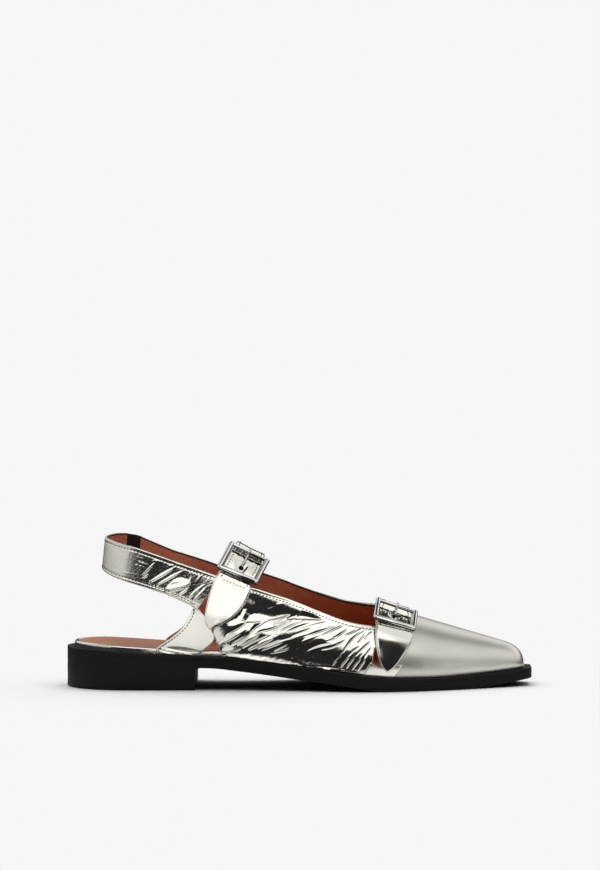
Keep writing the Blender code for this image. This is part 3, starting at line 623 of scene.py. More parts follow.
def lining_leaf(grid, normals, outer, inner):
    """A plain lining between two heights, on every second line of a panel's grid and on its last ones."""
    lines = np.ix_(*(every_second(count) for count in grid.shape[:2]))
    return leaf(grid[lines], normals[lines], outer, inner)


def wall_turn(station, height, side):
    """The turn round the last at which its wall reaches a height: the section's curve solved for it."""
    _, _, low, high, _, power = last_frame(station)
    rise = passed(height, low, high)
    turn = np.arcsin(rise ** (power / 2))
    return np.where(side < 0, turn, np.pi - turn)


# Rear edge of the vamp from the outer sole edge, round the hole behind the strap's end, along the
# throat and down the seam on the inner side
VAMP_BACK = table(
    "station height side",
    (186, 7.2, -1), (184.6, 14, -1), (184.4, 23, -1), (183.6, 28.6, -1), (181.6, 31, -1),
    (177.6, 33.8, -1), (177, 36.2, -1), (187.5, 38.2, -1), (193, 40.4, 1), (189, 42, 1),
    (184, 43.4, 1), (181, 37, 1), (178.6, 27, 1), (178, 17, 1), (178, 7.9, 1),
)
# Soft lines across the vamp where it flexes: station and height of a crease's foot, middle and top,
# its width and its lean in degrees
CREASE_COLUMNS = "s0 z0 s1 z1 s2 z2 width lean"
VAMP_CREASES = table(
    CREASE_COLUMNS,
    (212, 8.5, 214.5, 16, 215.5, 25, 1.6, 2.5),
    (219, 8.5, 219.6, 16, 221.5, 24, 1.3, 3),
    (224.5, 9, 226, 15.5, 226.5, 22, 1.5, 2.5),
    (233, 9.5, 234, 14, 236, 19, 1.2, 2),
    (206, 8.5, 204, 14, 205.5, 22, 2, 3),
)
CREASE_REACH = 8.0


def station_of(grid):
    """Station along the shoe of points of the frame."""
    return grid[..., 0] / MM + SOLE_LENGTH / 2


def eased(share):
    """A share from 0 to 1 with level ends: three times its square less twice its cube."""
    return share * share * (3 - 2 * share)


def creased(grid, creases, side):
    """Height in millimetres of folds placed one by one on one side of the shoe. Each is a long lens that
    lies above a quadratic curve through three points and narrows to both ends.
    leans by an angle, out towards the curve or in if the angle is negative, and turns back past it."""
    s, z = station_of(grid), grid[..., 2] / MM
    beside = np.sign(grid[..., 1]) == side
    total = np.zeros_like(s)
    t = np.linspace(0, 1, 120)
    for s0, z0, s1, z1, s2, z2, width, lean in zip(*creases.values()):
        middle = 2 * np.array([s1, z1]) - 0.5 * np.array([s0 + s2, z0 + z2])
        path = np.outer((1 - t) ** 2, [s0, z0]) + np.outer(t**2, [s2, z2])
        path += np.outer(2 * t * (1 - t), middle)
        ahead = unit(np.gradient(path, axis=0))
        near = beside & (np.abs(s - (s0 + s2) / 2) < abs(s2 - s0) / 2 + CREASE_REACH)
        near &= np.abs(z - (z0 + z2) / 2) < abs(z2 - z0) / 2 + CREASE_REACH
        ds, dz = s[near][:, None] - path[:, 0], z[near][:, None] - path[:, 1]
        nearest = np.argmin(ds**2 + dz**2, 1)
        pick = np.arange(len(nearest))
        across = ds[pick, nearest] * ahead[nearest, 1] - dz[pick, nearest] * ahead[nearest, 0]
        beyond = ds[pick, nearest] * ahead[nearest, 0] + dz[pick, nearest] * ahead[nearest, 1]
        wide = width * np.maximum(np.sin(np.pi * t[nearest]), 0.02) ** 0.6
        slope = np.clip(1 + across / wide, 0, 1) ** 1.3
        turned = np.clip(across / (0.25 * wide + 0.35), 0, 1)
        fold = np.where(across < 0, slope, 1 - eased(turned))
        total[near] += np.tan(np.radians(lean)) * wide * fold * bell(beyond / 0.6)
    return total


def vamp_grid(columns):
    """Grid on the last from the vamp's rear edge to the toe: rows go forward, with lines close
    together at both ends, and columns go over the foot. The last rows drop straight to the sole."""
    turn = wall_turn(VAMP_BACK["station"], VAMP_BACK["height"], VAMP_BACK["side"])
    turn[0], turn[-1] = 0.0, np.pi
    t = np.linspace(0, np.pi, columns)[None, :]
    start = np.interp(t, turn, VAMP_BACK["station"])
    window = np.hanning(7)
    start[0, 3:-3] = np.convolve(start[0], window / window.sum(), mode="valid")
    edge = NEAR_EDGE[:-1, None] / (UPPER_TIP - start)
    first = NEAR_EDGE[-1] / (UPPER_TIP - start)
    forward = 1 - (1 - np.linspace(0, 1, 90)[:, None]) ** 2
    share = np.concatenate([edge, first + (1 - first) * forward])
    station = start + (UPPER_TIP - 0.02 - start) * share
    grid = in_frame(*last_section(station, t))
    nose = np.repeat(grid[-1:], 4, 0)
    down = np.array([0.25, 0.5, 0.75, 1.0])[:, None]
    nose[..., 2] += (nose[:, :1, 2] - 0.2 * MM - nose[..., 2]) * down
    return np.concatenate([grid, nose])


STITCH_PITCH, STITCH_LENGTH, STITCH_RADIUS, STITCH_SUNK = 2.0, 1.2, 0.33, 0.04


def run_along(path):
    """Distance along a path to each of its points."""
    return np.concatenate([[0], np.cumsum(np.linalg.norm(np.diff(path, axis=0), axis=1))])


def read_at(places, run, values):
    """Rows of values, known at the distances run, read off at other places by straight lines."""
    return np.stack([np.interp(places, run, column) for column in values.T], -1)


def stitch_row(path, normals):
    """Points and faces of a row of stitches: at equal steps along the path, a short thread with round
    ends lies along it. Each is five rings of six points."""
    run = run_along(path) / MM
    places = np.arange(STITCH_PITCH, run[-1] - STITCH_PITCH / 2, STITCH_PITCH)
    centre = read_at(places, run, path)
    ahead = unit(read_at(places + 0.3, run, path) - centre)
    aside = unit(np.cross(read_at(places, run, normals), ahead))
    up = np.cross(ahead, aside)
    turn = np.radians([0, 60, 120, 180, 240, 300])
    along = np.array([-0.5, -0.42, 0.0, 0.42, 0.5])[:, None] * STITCH_LENGTH + 0 * turn
    girth = np.array([0.35, 0.85, 1.0, 0.85, 0.35])[:, None] * STITCH_RADIUS
    arch = np.array([-0.6, -0.15, 0.25, -0.15, -0.6])[:, None] * STITCH_RADIUS - STITCH_SUNK
    local = np.stack([along, girth * np.cos(turn), girth * np.sin(turn) + arch], -1).reshape(-1, 3) * MM
    points = centre[:, None] + np.einsum("pk,skx->spx", local, np.stack([ahead, aside, up], 1))
    one_stitch = rings_solid(points[0].reshape(5, 6, 3))[1]
    faces = one_stitch[None] + (np.arange(len(places)) * 30)[:, None, None]
    return points.reshape(-1, 3), faces.reshape(-1, 4)


def thread_finish():
    """Waxed grey thread, twisted, with painted shade: darker in the grooves of its twist."""
    made, sockets, place = new_finish("waxed_thread")
    twist = noise(place, 2600.0, 2.0)
    # Painted shade: the colour is darker where the twist's bump is low
    tone = ramp(twist, (0.3, (0.012, 0.012, 0.011)), (0.7, (0.06, 0.058, 0.052)))
    link(sockets, Base_Color=tone, Roughness=0.45 + 0.2 * twist)
    link(sockets, Normal=bump(twist, 0.0001, 0.5))
    return made


def sewn_rows(name, surface, normals, lines, node="upper"):
    """One piece of thread: a row of stitches along each of some lines of a panel's grid."""
    rows = [stitch_row(surface[line], normals[line]) for line in lines]
    add_piece(name, rows, thread, [node])


foil_satin = silver_leather(
    "silver_foil_satin", rough=0.34, crackle=0.0, crease=0.04, brush=0.5, tone=0.86
)
lining_leather = brown_leather("lining_leather", (0.74, 0.28, 0.165), (0.56, 0.185, 0.105), 0.48)
thread = thread_finish()

vamp = vamp_grid(170)
vamp_up = grid_normals(vamp, (0.0, 0.0, 1.0))
vamp_up[-1] = vamp_up[-2]
vamp_top = turned_edge(from_edges(vamp, "first_row"))
vamp_top = vamp_top + creased(vamp, VAMP_CREASES, -1) + creased(vamp, VAMP_CREASES, 1)
add_piece("vamp", [leaf(vamp, vamp_up, vamp_top, -SKIN)], foil_satin, ["upper"])
lined = np.s_[3:-8]
vamp_lining = lining_leaf(vamp[lined], vamp_up[lined], -SKIN - GLUE, -UPPER_WALL)
add_piece("vamp_lining", [vamp_lining], lining_leather, ["upper"])
throat = np.s_[STITCH_LINE, 62:106]
sewn_rows("throat_stitches", vamp, vamp_up, [throat])

# Quarters: the crumpled, mirror-bright silver leather of both sides, from the back strap's joint to
# the vamp. The top edge is folded over the brown lining and stitched, and the foot is lasted under.
QUARTER_CREASES = table(
    CREASE_COLUMNS,
    (91, 31.2, 97.5, 34.6, 104, 38.8, 2.2, -16),
    (94.2, 25.6, 100.5, 28.6, 106.6, 33.6, 2, -20),
    (105, 32.5, 110.5, 37, 117, 40.5, 2.4, -16),
    (100, 23.4, 106, 27.2, 114.7, 31.2, 2.3, -16),
    (107.5, 31, 112, 33.2, 118.5, 35.2, 1.4, -16),
    (108.6, 23.2, 115, 26.2, 122, 29, 2.2, -14),
    (113, 33, 118, 35, 123, 37.6, 1.2, -16),
    (117.8, 22.3, 122, 24.2, 126.5, 26.4, 2, -10),
    (88.5, 21.5, 95, 22.5, 101, 24, 3.5, 12),
    (98, 24.6, 106, 29, 113, 33.4, 2.8, 12),
    (89.5, 26.8, 96, 30, 103, 34.6, 3, 10),
    (104, 22.6, 112, 26.4, 121, 31, 2.2, 13),
    (111, 22.4, 119, 25.6, 128, 29.5, 1.6, 13),
    (116, 21, 124, 22.6, 129, 25, 1.2, 13),
    (104, 40, 108, 42.5, 111, 47, 1.1, 10),
    (110, 43, 117, 47, 124, 49, 1, 9),
    (128, 38.5, 132, 42, 135, 46, 1.3, 11),
    (121, 39, 126, 41, 130, 44.5, 0.9, 10),
    (122, 33.5, 129, 37, 137, 40.6, 1.2, -16),
    (126, 33.2, 134, 36.4, 143, 39.4, 1.2, -16),
    (131, 34.2, 139.5, 37.4, 150, 39.6, 1.1, -16),
    (129, 31, 135, 33.4, 141, 35.8, 0.9, -16),
    (136.6, 31, 145, 33.6, 154.5, 37, 1.2, -19),
    (145, 31, 152, 34.2, 159, 37.3, 1, -19),
    (124, 27, 131, 30, 138, 32.2, 1.3, 12),
    (134, 27.4, 139, 29.6, 145, 31.6, 1, 11),
    (145.2, 23.5, 153.3, 25.6, 160.2, 29.7, 1.1, -19),
    (152.1, 30.4, 156.2, 32, 161.4, 36, 0.9, -20),
    (158.5, 31.4, 163.8, 33.3, 168.2, 35.6, 0.9, -20),
    (157.9, 21.5, 162.5, 28.5, 170, 34.4, 1, -20),
    (170.3, 28, 171.2, 31.2, 174, 33.9, 0.9, -20),
    (161.4, 19.8, 163.7, 22.8, 167.7, 25.6, 0.9, -20),
    (164, 19, 169, 24, 174, 28.4, 1, -20),
    (170, 19.4, 172.4, 22.5, 174.8, 25.4, 0.8, -20),
    (137, 22.6, 144, 26, 150, 27, 3.6, -6),
    (101, 39, 113, 41, 128, 43, 9, -10),
    (126, 40.4, 134, 41.2, 147, 40, 4, -14),
    (148, 28, 154, 30.2, 160, 34.8, 0.9, -19),
    (166, 26.6, 169, 30.2, 173.5, 35.4, 0.9, -19),
    (151, 14, 155, 18, 158.4, 22.6, 0.9, 12),
    (155, 12, 159, 16.5, 163, 21.8, 1, 13),
    (158.5, 11.5, 162, 16, 166.2, 21.8, 0.9, 13),
    (162, 11.2, 165.5, 15.5, 169.7, 21.2, 0.9, 13),
    (165.5, 11, 168.5, 15, 172.2, 20.7, 0.9, 13),
    (91, 19.7, 113, 16.9, 138, 14, 4, 20),
    (137, 13.9, 152, 12.2, 168, 10.2, 1.8, 21),
    (131.5, 15.5, 132.8, 20, 131.6, 26, 0.5, 8),
    (135.4, 15.2, 136.4, 20, 139, 26.5, 0.45, 8),
    (140.6, 14.6, 141.2, 19, 143.6, 25, 0.5, 8),
    (128.4, 17, 129.6, 20, 133, 24, 0.45, 8),
)


def moved_creases(creases, lines, forward, up):
    """Some lines of a table of creases, moved along the shoe and up."""
    shift = {"s": forward, "z": up}
    return {name: column[lines] + shift.get(name[0], 0.0) for name, column in creases.items()}


def curve_through(points, per_span=12):
    """Cubic curve through the points, its slope at each taken from the two beside it."""
    points = np.asarray(points, float)
    padded = np.vstack([2 * points[0] - points[1], points, 2 * points[-1] - points[-2]])
    t = np.linspace(0, 1, per_span, endpoint=False)[:, None]
    spans = []
    for a, b, c, d in zip(padded, padded[1:], padded[2:], padded[3:]):
        cubic = 2 * a - 5 * b + 4 * c - d + t * (3 * (b - c) + d - a)
        spans.append(b + 0.5 * t * (c - a + t * cubic))
    return np.vstack([*spans, points[-1:]])


def along_curve(points, shares):
    """Points of the smooth curve through the given points, at shares of its length."""
    curve = curve_through(points)
    run = run_along(curve)
    return read_at(shares, run / run[-1], curve)


def patch(bottom, top, rear, front, side, columns, rows):
    """Grid on the last's wall inside four edges, each given by (station, height) points: the two ruled
    surfaces between facing edges, added, less the one through the four corners. Columns run from the
    rear to the front edge and rows from the bottom to the top edge."""
    u = edge_shares(run_along(curve_through(top, 8))[-1], columns)
    low, high = along_curve(bottom, u[0]), along_curve(top, u[0])
    v = edge_shares(np.linalg.norm(high - low, axis=1), rows).T
    back, fore = along_curve(rear, v), along_curve(front, v)
    u, v = u[..., None], v[..., None]
    ruled = (1 - v) * low + v * high + (1 - u) * back + u * fore
    corners = (1 - v) * ((1 - u) * low[0] + u * low[-1]) + v * ((1 - u) * high[0] + u * high[-1])
    place = ruled - corners
    return in_frame(*last_wall(place[..., 0], place[..., 1], side))


def sole_edge(first, last):
    """Points of the feather line, where the upper meets the sole, between two stations."""
    stations = np.linspace(first, last, 9)
    return np.stack([stations, sole_top(stations) + GAP], 1)


def crumpled(grid, seed, waves, height):
    """Small random folds in millimetres: a sum of waves that run mostly along the big creases, bent by
    slower ones, strong in patches."""
    draw = np.random.default_rng(seed)
    s, z = grid[..., 0] / MM, grid[..., 2] / MM
    total = np.zeros_like(s)
    for _ in range(waves):
        turn = np.radians(draw.normal(128, 20))
        size = draw.uniform(2.4, 6.5)
        bend = 0.9 * np.sin((s * draw.uniform(-1, 1) + z * draw.uniform(-1, 1)) / draw.uniform(4, 9))
        across = (s * np.cos(turn) + z * np.sin(turn)) * 2 * np.pi / size
        wave = np.sin(across + bend + draw.uniform(0, 6.3))
        slow = s / draw.uniform(5, 12) + z / draw.uniform(5, 12) + draw.uniform(0, 6.3)
        patchy = 0.5 + 0.5 * np.sin(slow)
        total += draw.uniform(0.5, 1.0) * (1 - np.abs(wave)) ** 1.5 * patchy
    return height * (total - total.mean())


def pushed(grid, away, distance):
    """The grid moved along its own normals by a distance in millimetres, which may vary over it."""
    return raised(grid, grid_normals(grid, away), distance)


def panel(
    name, grid, away, shape, finish, folded,
    node="upper", skin=SKIN, wall=UPPER_WALL, lined=np.s_[:-2, 2:-2], painted=None, sewn=(),
):
    """One panel of silver leather: a skin with folded edges and the shape of its surface, and the
    lining behind it. Where asked for, painted shade darkens the lining's cut edge and stitches lie on top."""
    up = grid_normals(grid, away)
    distance = from_edges(grid, *folded)
    top = turned_edge(distance) + shape * passed(distance, FLAT_RIM, SEAM_INSET)
    add_piece(name, [leaf(grid, up, top, -skin)], finish, [node])
    lining = lining_leaf(grid[lined], up[lined], -skin - GLUE, -wall)
    add_piece(name + "_lining", [lining], lining_leather, [node])
    if painted:
        shade_strip = leaf(grid[painted], up[painted], -skin - 0.04, -wall - 0.1)
        add_piece(name + "_edge", [shade_strip], painted_shade_leather, [node])
    if sewn:
        sewn_rows(name + "_stitches", raised(grid, up, top), up, sewn, node)


foil_crumpled = silver_leather("silver_foil_crumpled", rough=0.07, crackle=0.16, crease=0.02, brush=0.0)
OUTER_QUARTER = {
    "bottom": sole_edge(89.3, 169.9),
    "top": [(88.6, 63.2), (109.3, 56.1), (131.9, 48.9), (157.6, 39.9), (172.0, 36.6), (180.4, 35.2)],
    "rear": [(89.3, 18.9), (88.6, 21.2), (85.9, 28.6), (84.8, 34.0), (90.6, 43.2), (94.4, 51.0),
             (90.4, 57.4), (88.6, 63.2)],
    "front": [(170.2, 9.0), (171.0, 11.2), (174.4, 16.4), (175.3, 20.0), (176.4, 23.6), (178.6, 28.0),
              (180.4, 35.2)],
}
INNER_QUARTER = {
    "bottom": sole_edge(89.4, 179.6),
    "top": [(89.6, 66.6), (109.3, 63.0), (131.9, 55.4), (157.6, 47.8), (185.2, 43.2)],
    "rear": [(89.4, 18.9), (88.8, 21.0), (86.0, 28.6), (86.2, 38.0), (87.8, 50.0), (89.6, 66.6)],
    "front": [(179.6, 8.0), (179.8, 17.0), (180.4, 27.0), (182.6, 37.0), (185.2, 43.2)],
}
# Near-black brown, painted shade: strips along the linings' top edges and discs in the straps' holes
painted_shade_leather = brown_leather("painted_shade_leather", (0.03, 0.012, 0.008), (0.015, 0.006, 0.004), 0.45)
INNER_CREASES = moved_creases(QUARTER_CREASES, np.s_[::2], 3.0, 1.5)
for name, edges, side, creases in (
    ("quarter_outer", OUTER_QUARTER, -1, QUARTER_CREASES),
    ("quarter_inner", INNER_QUARTER, 1, INNER_CREASES),
):
    away = (0.0, side, 0.4)
    quarter = patch(**edges, side=side, columns=270, rows=104)
    station = station_of(quarter)
    # The leather sinks in below the collar, flares at it, and pulls outwards at the front edge
    below = from_edges(quarter, "last_row")
    deep = np.interp(station, [88, 97, 105, 118, 132, 145, 165], [1.6, 2.9, 2.8, 2.2, 0.9, 0.4, 0.0])
    place = np.interp(station, [95, 118, 132, 145], [17.0, 15.0, 8.0, 5.0])
    sunk = -deep * bell((below - place) / (0.5 * place))
    flare = np.interp(station, [98, 108, 126, 142, 160], [0.0, 2.0, 2.1, 0.8, 0.0]) * np.exp(-below / 7.0)
    pulled = 0.5 * passed(station, 160.0, 175.0) ** 2
    quarter = pushed(quarter, away, sunk + flare + pulled)
    folds = creased(quarter, creases, side) + crumpled(quarter, 4 + side, 9, 0.018)
    shape = np.maximum(folds, -0.7) + seam_groove(from_edges(quarter, "last_row"))
    # Under the collar a near-black strip of painted shade lies on the lining's edge
    panel(
        name, quarter, away, shape, foil_crumpled, ["last_row", "first_column", "last_column"],
        painted=np.s_[-4:-1, 2:-2], sewn=[np.s_[-1 - STITCH_LINE, 4:-4]],
    )

# Side tabs: smooth silver panels that carry the buckled straps down to the sole. The rear pair
# reach back under the ankle and up beside the back strap; the front one stands below the strap's end.
TAB_HEIGHT = 58.0
TAB_CREASES = table(
    CREASE_COLUMNS,
    (52, 22.6, 57, 21.2, 63, 20.4, 1, 20),
    (53.2, 24, 60, 22.4, 69, 21, 1.1, 18),
    (57.5, 23.8, 66, 22.2, 77, 21.4, 2.4, -9),
    (54.5, 21.6, 58, 20.7, 61.5, 20.1, 0.8, 20),
    (66, 21, 69, 20.3, 73, 20, 0.8, 16),
)


def ruled_tab(rear, front, side, columns, rows):
    """Grid on the last's wall ruled straight between a rear and a front edge of matching points."""
    u = edge_shares(TAB_HEIGHT, rows)[0]
    rear, front = curve_through(rear), curve_through(front)
    rear, front = (read_at(u, np.linspace(0, 1, len(edge)), edge) for edge in (rear, front))
    v = edge_shares(np.linalg.norm(front - rear, axis=1), columns)[..., None]
    place = rear[:, None] * (1 - v) + front[:, None] * v
    return in_frame(*last_wall(place[..., 0], place[..., 1], side))


OUTER_TAB = {
    "rear": [(50.9, 20.6), (52.4, 24.0), (60.7, 30.0), (66.3, 35.0), (71.1, 42.3), (72.6, 46.0),
             (78.6, 55.2), (86.0, 63.2)],
    "front": [(77.9, 19.3), (78.6, 22.0), (85.2, 28.4), (83.9, 34.0), (80.6, 41.2), (76.3, 46.9),
              (82.4, 53.6), (89.2, 60.0)],
}
INNER_TAB = {
    "rear": [(54.3, 20.4), (55.8, 24.0), (63.4, 29.4), (68.4, 35.0), (72.6, 43.0), (75.4, 48.6),
             (82.0, 57.4), (88.9, 66.4)],
    "front": [(78.4, 19.3), (81.6, 20.8), (87.0, 24.2), (88.0, 38.0), (88.6, 44.5), (89.2, 50.0),
              (90.2, 58.0), (91.2, 66.4)],
}
foil_tab = silver_leather(
    "silver_foil_tab", rough=0.2, crackle=0.05, crease=0.02, brush=0.0, tone=1.15
)
for name, edges, side in (("rear_tab_outer", OUTER_TAB, -1), ("rear_tab_inner", INNER_TAB, 1)):
    away = (0.0, side, 0.4)
    tab = ruled_tab(**edges, side=side, columns=40, rows=70)
    # From above the sole up to the strap the leather sinks in, so that the strap's end stands clear
    tab = pushed(tab, away, -2.0 * passed(tab[..., 2] / MM, 22.0, 46.0))[::-1]
    shape = creased(tab, TAB_CREASES, side) + seam_groove(from_edges(tab, "first_column"))
    panel(
        name, tab, away, shape, foil_tab, ["first_row", "first_column", "last_column"],
        sewn=[np.s_[8:-5, STITCH_LINE]],
    )

FRONT_TAB = {
    "bottom": sole_edge(169.6, 187.2),
    "top": [(173.3, 16.6), (177.0, 14.4), (180.8, 13.5), (185.6, 14.2), (191.6, 15.0)],
    "rear": [(169.6, 9.0), (170.4, 11.4), (173.3, 16.6)],
    "front": [(187.2, 7.6), (189.2, 11.0), (191.6, 15.0)],
}
away = (0.0, -1.0, 0.4)
front_tab = pushed(patch(**FRONT_TAB, side=-1, columns=30, rows=22), away, 0.5)
panel("front_tab_outer", front_tab, away, 0.0, foil_tab, ["last_row", "first_column", "last_column"])

# Back strap: two long strips of crumpled silver leather lined in brown, sewn along both edges, that
# go round the heel. A short black elastic joins them on the inner side, so that the foot slips in.
SLING_SKIN, SLING_WALL = 1.0, 2.0
ELASTIC_START, ELASTIC_END, ELASTIC_TUCK = 21.5, 34.5, 1.2
HEEL_MIDDLE = in_frame(46.0, HEEL_CENTRE, 70.0)
SLING = table(
    "station lateral_low lateral_high medial_low medial_high",
    (20, 67, 85.2, 67, 85.2), (24, 65, 84.6, 66.2, 86.2), (30, 62.9, 83.2, 65.5, 86.6),
    (40, 60, 80.2, 63.5, 85), (50, 56.9, 76.8, 60.5, 80.6), (60, 53.5, 73.3, 57, 76.4),
    (70, 48.8, 69.8, 53, 73.4), (80, 43, 66.3, 48.5, 70.3), (90, 37, 62.8, 44, 66.8),
)
SLING_END = {"lateral": (75.6, 87.4), "medial": (76.0, 89.2)}
SLING_CREASES = table(
    CREASE_COLUMNS,
    (26, 67.4, 34, 66.2, 42, 65, 0.9, 5),
    (40, 73.6, 44, 71.6, 48.5, 70.4, 1, 9),
    (44, 64.5, 48, 68.6, 53, 73.6, 1.2, 13),
    (47, 60.6, 55.5, 64.8, 64, 70.4, 1.5, 14),
    (51.5, 59, 60, 63.4, 67.5, 67.6, 1.2, 14),
    (57, 56.6, 64.5, 58, 72, 60.8, 5.6, 9),
    (66, 57, 70.6, 60.4, 71.8, 65.4, 1.4, 12),
    (64, 53.6, 68, 55.6, 71, 58.6, 1, 12),
    (69.5, 51, 74.5, 55.6, 80, 59.8, 1.1, 15),
    (71.4, 48.6, 76.4, 53.6, 82, 59.4, 1.1, 15),
    (40.5, 64, 42.6, 67, 44, 71, 0.8, 8),
    (57.5, 69, 62, 70.8, 66, 70.6, 0.9, 9),
    (36.2, 67, 36.6, 72, 37.4, 78, 0.7, -9),
    (38, 70.8, 42, 70.2, 46, 68.6, 0.7, 9),
    (39, 76.4, 42.5, 74.6, 45.5, 74.4, 0.8, 8),
    (42.5, 62.4, 46, 64, 49, 67.4, 0.8, 10),
    (49, 72.6, 52, 73, 56, 72.4, 0.8, 9),
    (61, 61.6, 65, 63.6, 69.5, 63, 0.8, -12),
    (59.5, 58.6, 63, 60.2, 66.5, 60, 0.7, -12),
    (74, 60.4, 76.5, 63.4, 78.6, 66, 0.9, 11),
)
sling_edge = {
    name: rounded_line(SLING["station"], SLING[name], 10.0) for name in SLING if name != "station"
}
sling_share = 1 - edge_shares(20.0, 34)


def sling_grid(lateral_stations, medial_stations):
    """Outer points of the back strap: rows go round the heel and columns from the upper to the lower
    edge. The edges depend on the leaned place, so the height is found in a few rounds."""
    station = np.concatenate([lateral_stations, medial_stations])
    side = np.concatenate([-np.ones_like(lateral_stations), np.ones_like(medial_stations)])
    height = np.full_like(station, 70.0)
    for _ in range(5):
        place = leaned(station, height)
        low = np.where(side < 0, sling_edge["lateral_low"](place), sling_edge["medial_low"](place))
        high = np.where(side < 0, sling_edge["lateral_high"](place), sling_edge["medial_high"](place))
        height = low + (high - low) * sling_share
    return in_frame(*last_wall(station, height, side))


def round_heel(first, last, count):
    """Stations from first to last, spaced by equal turns round the heel's back."""
    reach = HEEL_RADIUS - UPPER_BACK
    turns = np.arccos(1 - (np.array([first, last]) - UPPER_BACK) / reach)
    return (UPPER_BACK + reach * (1 - np.cos(np.linspace(*turns, count))))[:, None]


def sling_part(name, grid, folds, node):
    """One strip of the back strap, folded at all its edges and sewn along the upper and the lower."""
    shape = folds + seam_groove(from_edges(grid, "first_column", "last_column"))
    # Along the upper edge a near-black strip of painted shade lies on the lining
    panel(
        name, grid, grid - HEEL_MIDDLE, shape, foil_sling, [], node, SLING_SKIN, SLING_WALL,
        lined=np.s_[:, 2:-2], painted=np.s_[:, 1:4],
        sewn=[np.s_[5:-5, STITCH_LINE], np.s_[5:-5, -1 - STITCH_LINE]],
    )


def elastic_finish():
    """Black woven elastic: fine lengthwise ribs crossed by the weft, with painted shade darker in the low
    parts of the weave.
    """
    made, sockets, place = new_finish("black_elastic")
    weft = place.node(
        "TexWave", {"bands_direction": "X"}, {"Vector": place, "Scale": 420.0, "Distortion": 0.6}
    )
    fuzz = noise(place, 2400.0, 3.0)
    weave = 0.6 * weft + 0.4 * fuzz
    # Painted shade: the colour is darker where the weave's bump is low
    tone = ramp(weave, (0.2, (0.003, 0.003, 0.0033)), (0.8, (0.011, 0.011, 0.012)))
    link(sockets, Base_Color=tone, Roughness=0.72 + 0.15 * fuzz)
    link(sockets, Normal=bump(weft + 0.6 * fuzz, 0.0002, 0.6))
    return made


foil_sling = silver_leather(
    "silver_foil_sling", rough=0.1, crackle=0.32, crease=0.035, brush=0.0, dull_behind=-0.096
)
start, end = (low + (high - low) * sling_share for low, high in (SLING_END["lateral"], SLING_END["medial"]))
flat = np.ones_like(sling_share)
straight = edge_shares(50.0, 110)[0][:, None]
side_run = start + (HEEL_RADIUS - start) * straight[:-1]
outer_run = np.vstack([side_run, round_heel(HEEL_RADIUS, UPPER_BACK, 60) * flat])
heel_run = round_heel(UPPER_BACK, ELASTIC_START, 34)[1:] * flat
outer_strap = sling_grid(outer_run, heel_run)
# Along the sides the strap stands more upright than the foot, most of all at its upper edge
station = station_of(outer_strap)
upright = 1.8 * sling_share**2 - 0.6 + (sling_share - 0.5) * np.clip((62 - station) / 20, 0, 0.7)
outer_strap = pushed(outer_strap, outer_strap - HEEL_MIDDLE, upright * passed(station, 30, 40))
crumple = crumpled(outer_strap, 11, 8, 0.042)
crumple *= np.clip((station_of(outer_strap) - 33) / 9, 0.12, 1)
outer_folds = creased(outer_strap, SLING_CREASES, -1)
sling_part("sling_outer", outer_strap, outer_folds + crumple, "sling_strap")
inner_strap = sling_grid(end[:0], ELASTIC_END + (end - ELASTIC_END) * straight)
inner_folds = creased(inner_strap, moved_creases(SLING_CREASES, np.s_[1:], 2.0, 3.6), 1)
inner_folds += crumpled(inner_strap, 12, 8, 0.03)
sling_part("sling_inner", inner_strap, inner_folds, "sling_strap_medial")
run = np.linspace(ELASTIC_START - ELASTIC_TUCK, ELASTIC_END + ELASTIC_TUCK, 60)[:, None] * flat
elastic = sling_grid(run[:0], run)
elastic_up = grid_normals(elastic, elastic - HEEL_MIDDLE)
ribs = 0.09 * np.sin(np.linspace(0, 1, run.shape[1])[None, :] * 2 * np.pi * 13)
gather = 0.07 * np.sin(np.linspace(0, 1, 60)[:, None] * 2 * np.pi * 7)
band = leaf(elastic, elastic_up, -0.5 + ribs + gather, -1.5 + gather - ribs)
add_piece("sling_elastic_band", [band], elastic_finish(), ["sling_elastic"])

# Buckled straps: two doubled silver belts over the instep. Each hangs down the outer side in a
# rounded shield, is punched with a hole under its buckle, and is sewn down on the inner side.
STRAP_WIDTH, STRAP_THICKNESS = 18.8, 2.2
HOLE_RADIUS, HOLE_SHADE_RADIUS, HOLE_SIDES = 1.5, 1.44, 24
REAR_BELT = {
    "tip_station": 82.9, "tip_height": 35.2, "lean_deg": 28.0, "end_width": 21.6, "tip_length": 26.0,
    "tip_power": 1.85, "tip_bow": 0.8, "anchor_height": 42.0, "low_bar": 33.0,
    "high_bar": 48.6, "bar_skew": 0.0, "buckle_beside": -0.3, "hole": 38.5, "prong_length": 6.8,
    "stand": [(0, 2.7), (6, 1.75), (13, 1.0), (20, 0.55), (26, 0.4), (30, 0.4)], "twist": 0.0,
}
FRONT_BELT = {
    "tip_station": 182.6, "tip_height": 11.2, "lean_deg": 11.5, "end_width": 22.6, "tip_length": 25.0,
    "tip_power": 1.55, "tip_bow": 0.0, "anchor_height": 20.0, "low_bar": 27.8,
    "high_bar": 43.6, "bar_skew": 0.9, "buckle_beside": -1.2, "hole": 36.5, "prong_length": 5.6,
    "stand": [(0, 1.3), (4, 1.0), (9.6, 0.9), (14, 1.45), (18.5, 2.1), (22, 2.15), (24.4, 2.0),
              (26.2, 0.75), (28, 0.6), (31, 0.4)],
    "twist": 0.05,
}


def belt_point(belt, turn, beside):
    """Point of the last at a turn, in the belt's leaning plane moved sideways by beside. The plane and
    the last are brought together in forty rounds."""
    lean = np.radians(belt["lean_deg"])
    station = belt["tip_station"] + beside
    for _ in range(40):
        risen = last_section(station, turn)[2] - belt["tip_height"]
        wanted = belt["tip_station"] + (beside + risen * np.sin(lean)) / np.cos(lean)
        station = 0.4 * station + 0.6 * wanted
    return in_frame(*last_section(station, turn))


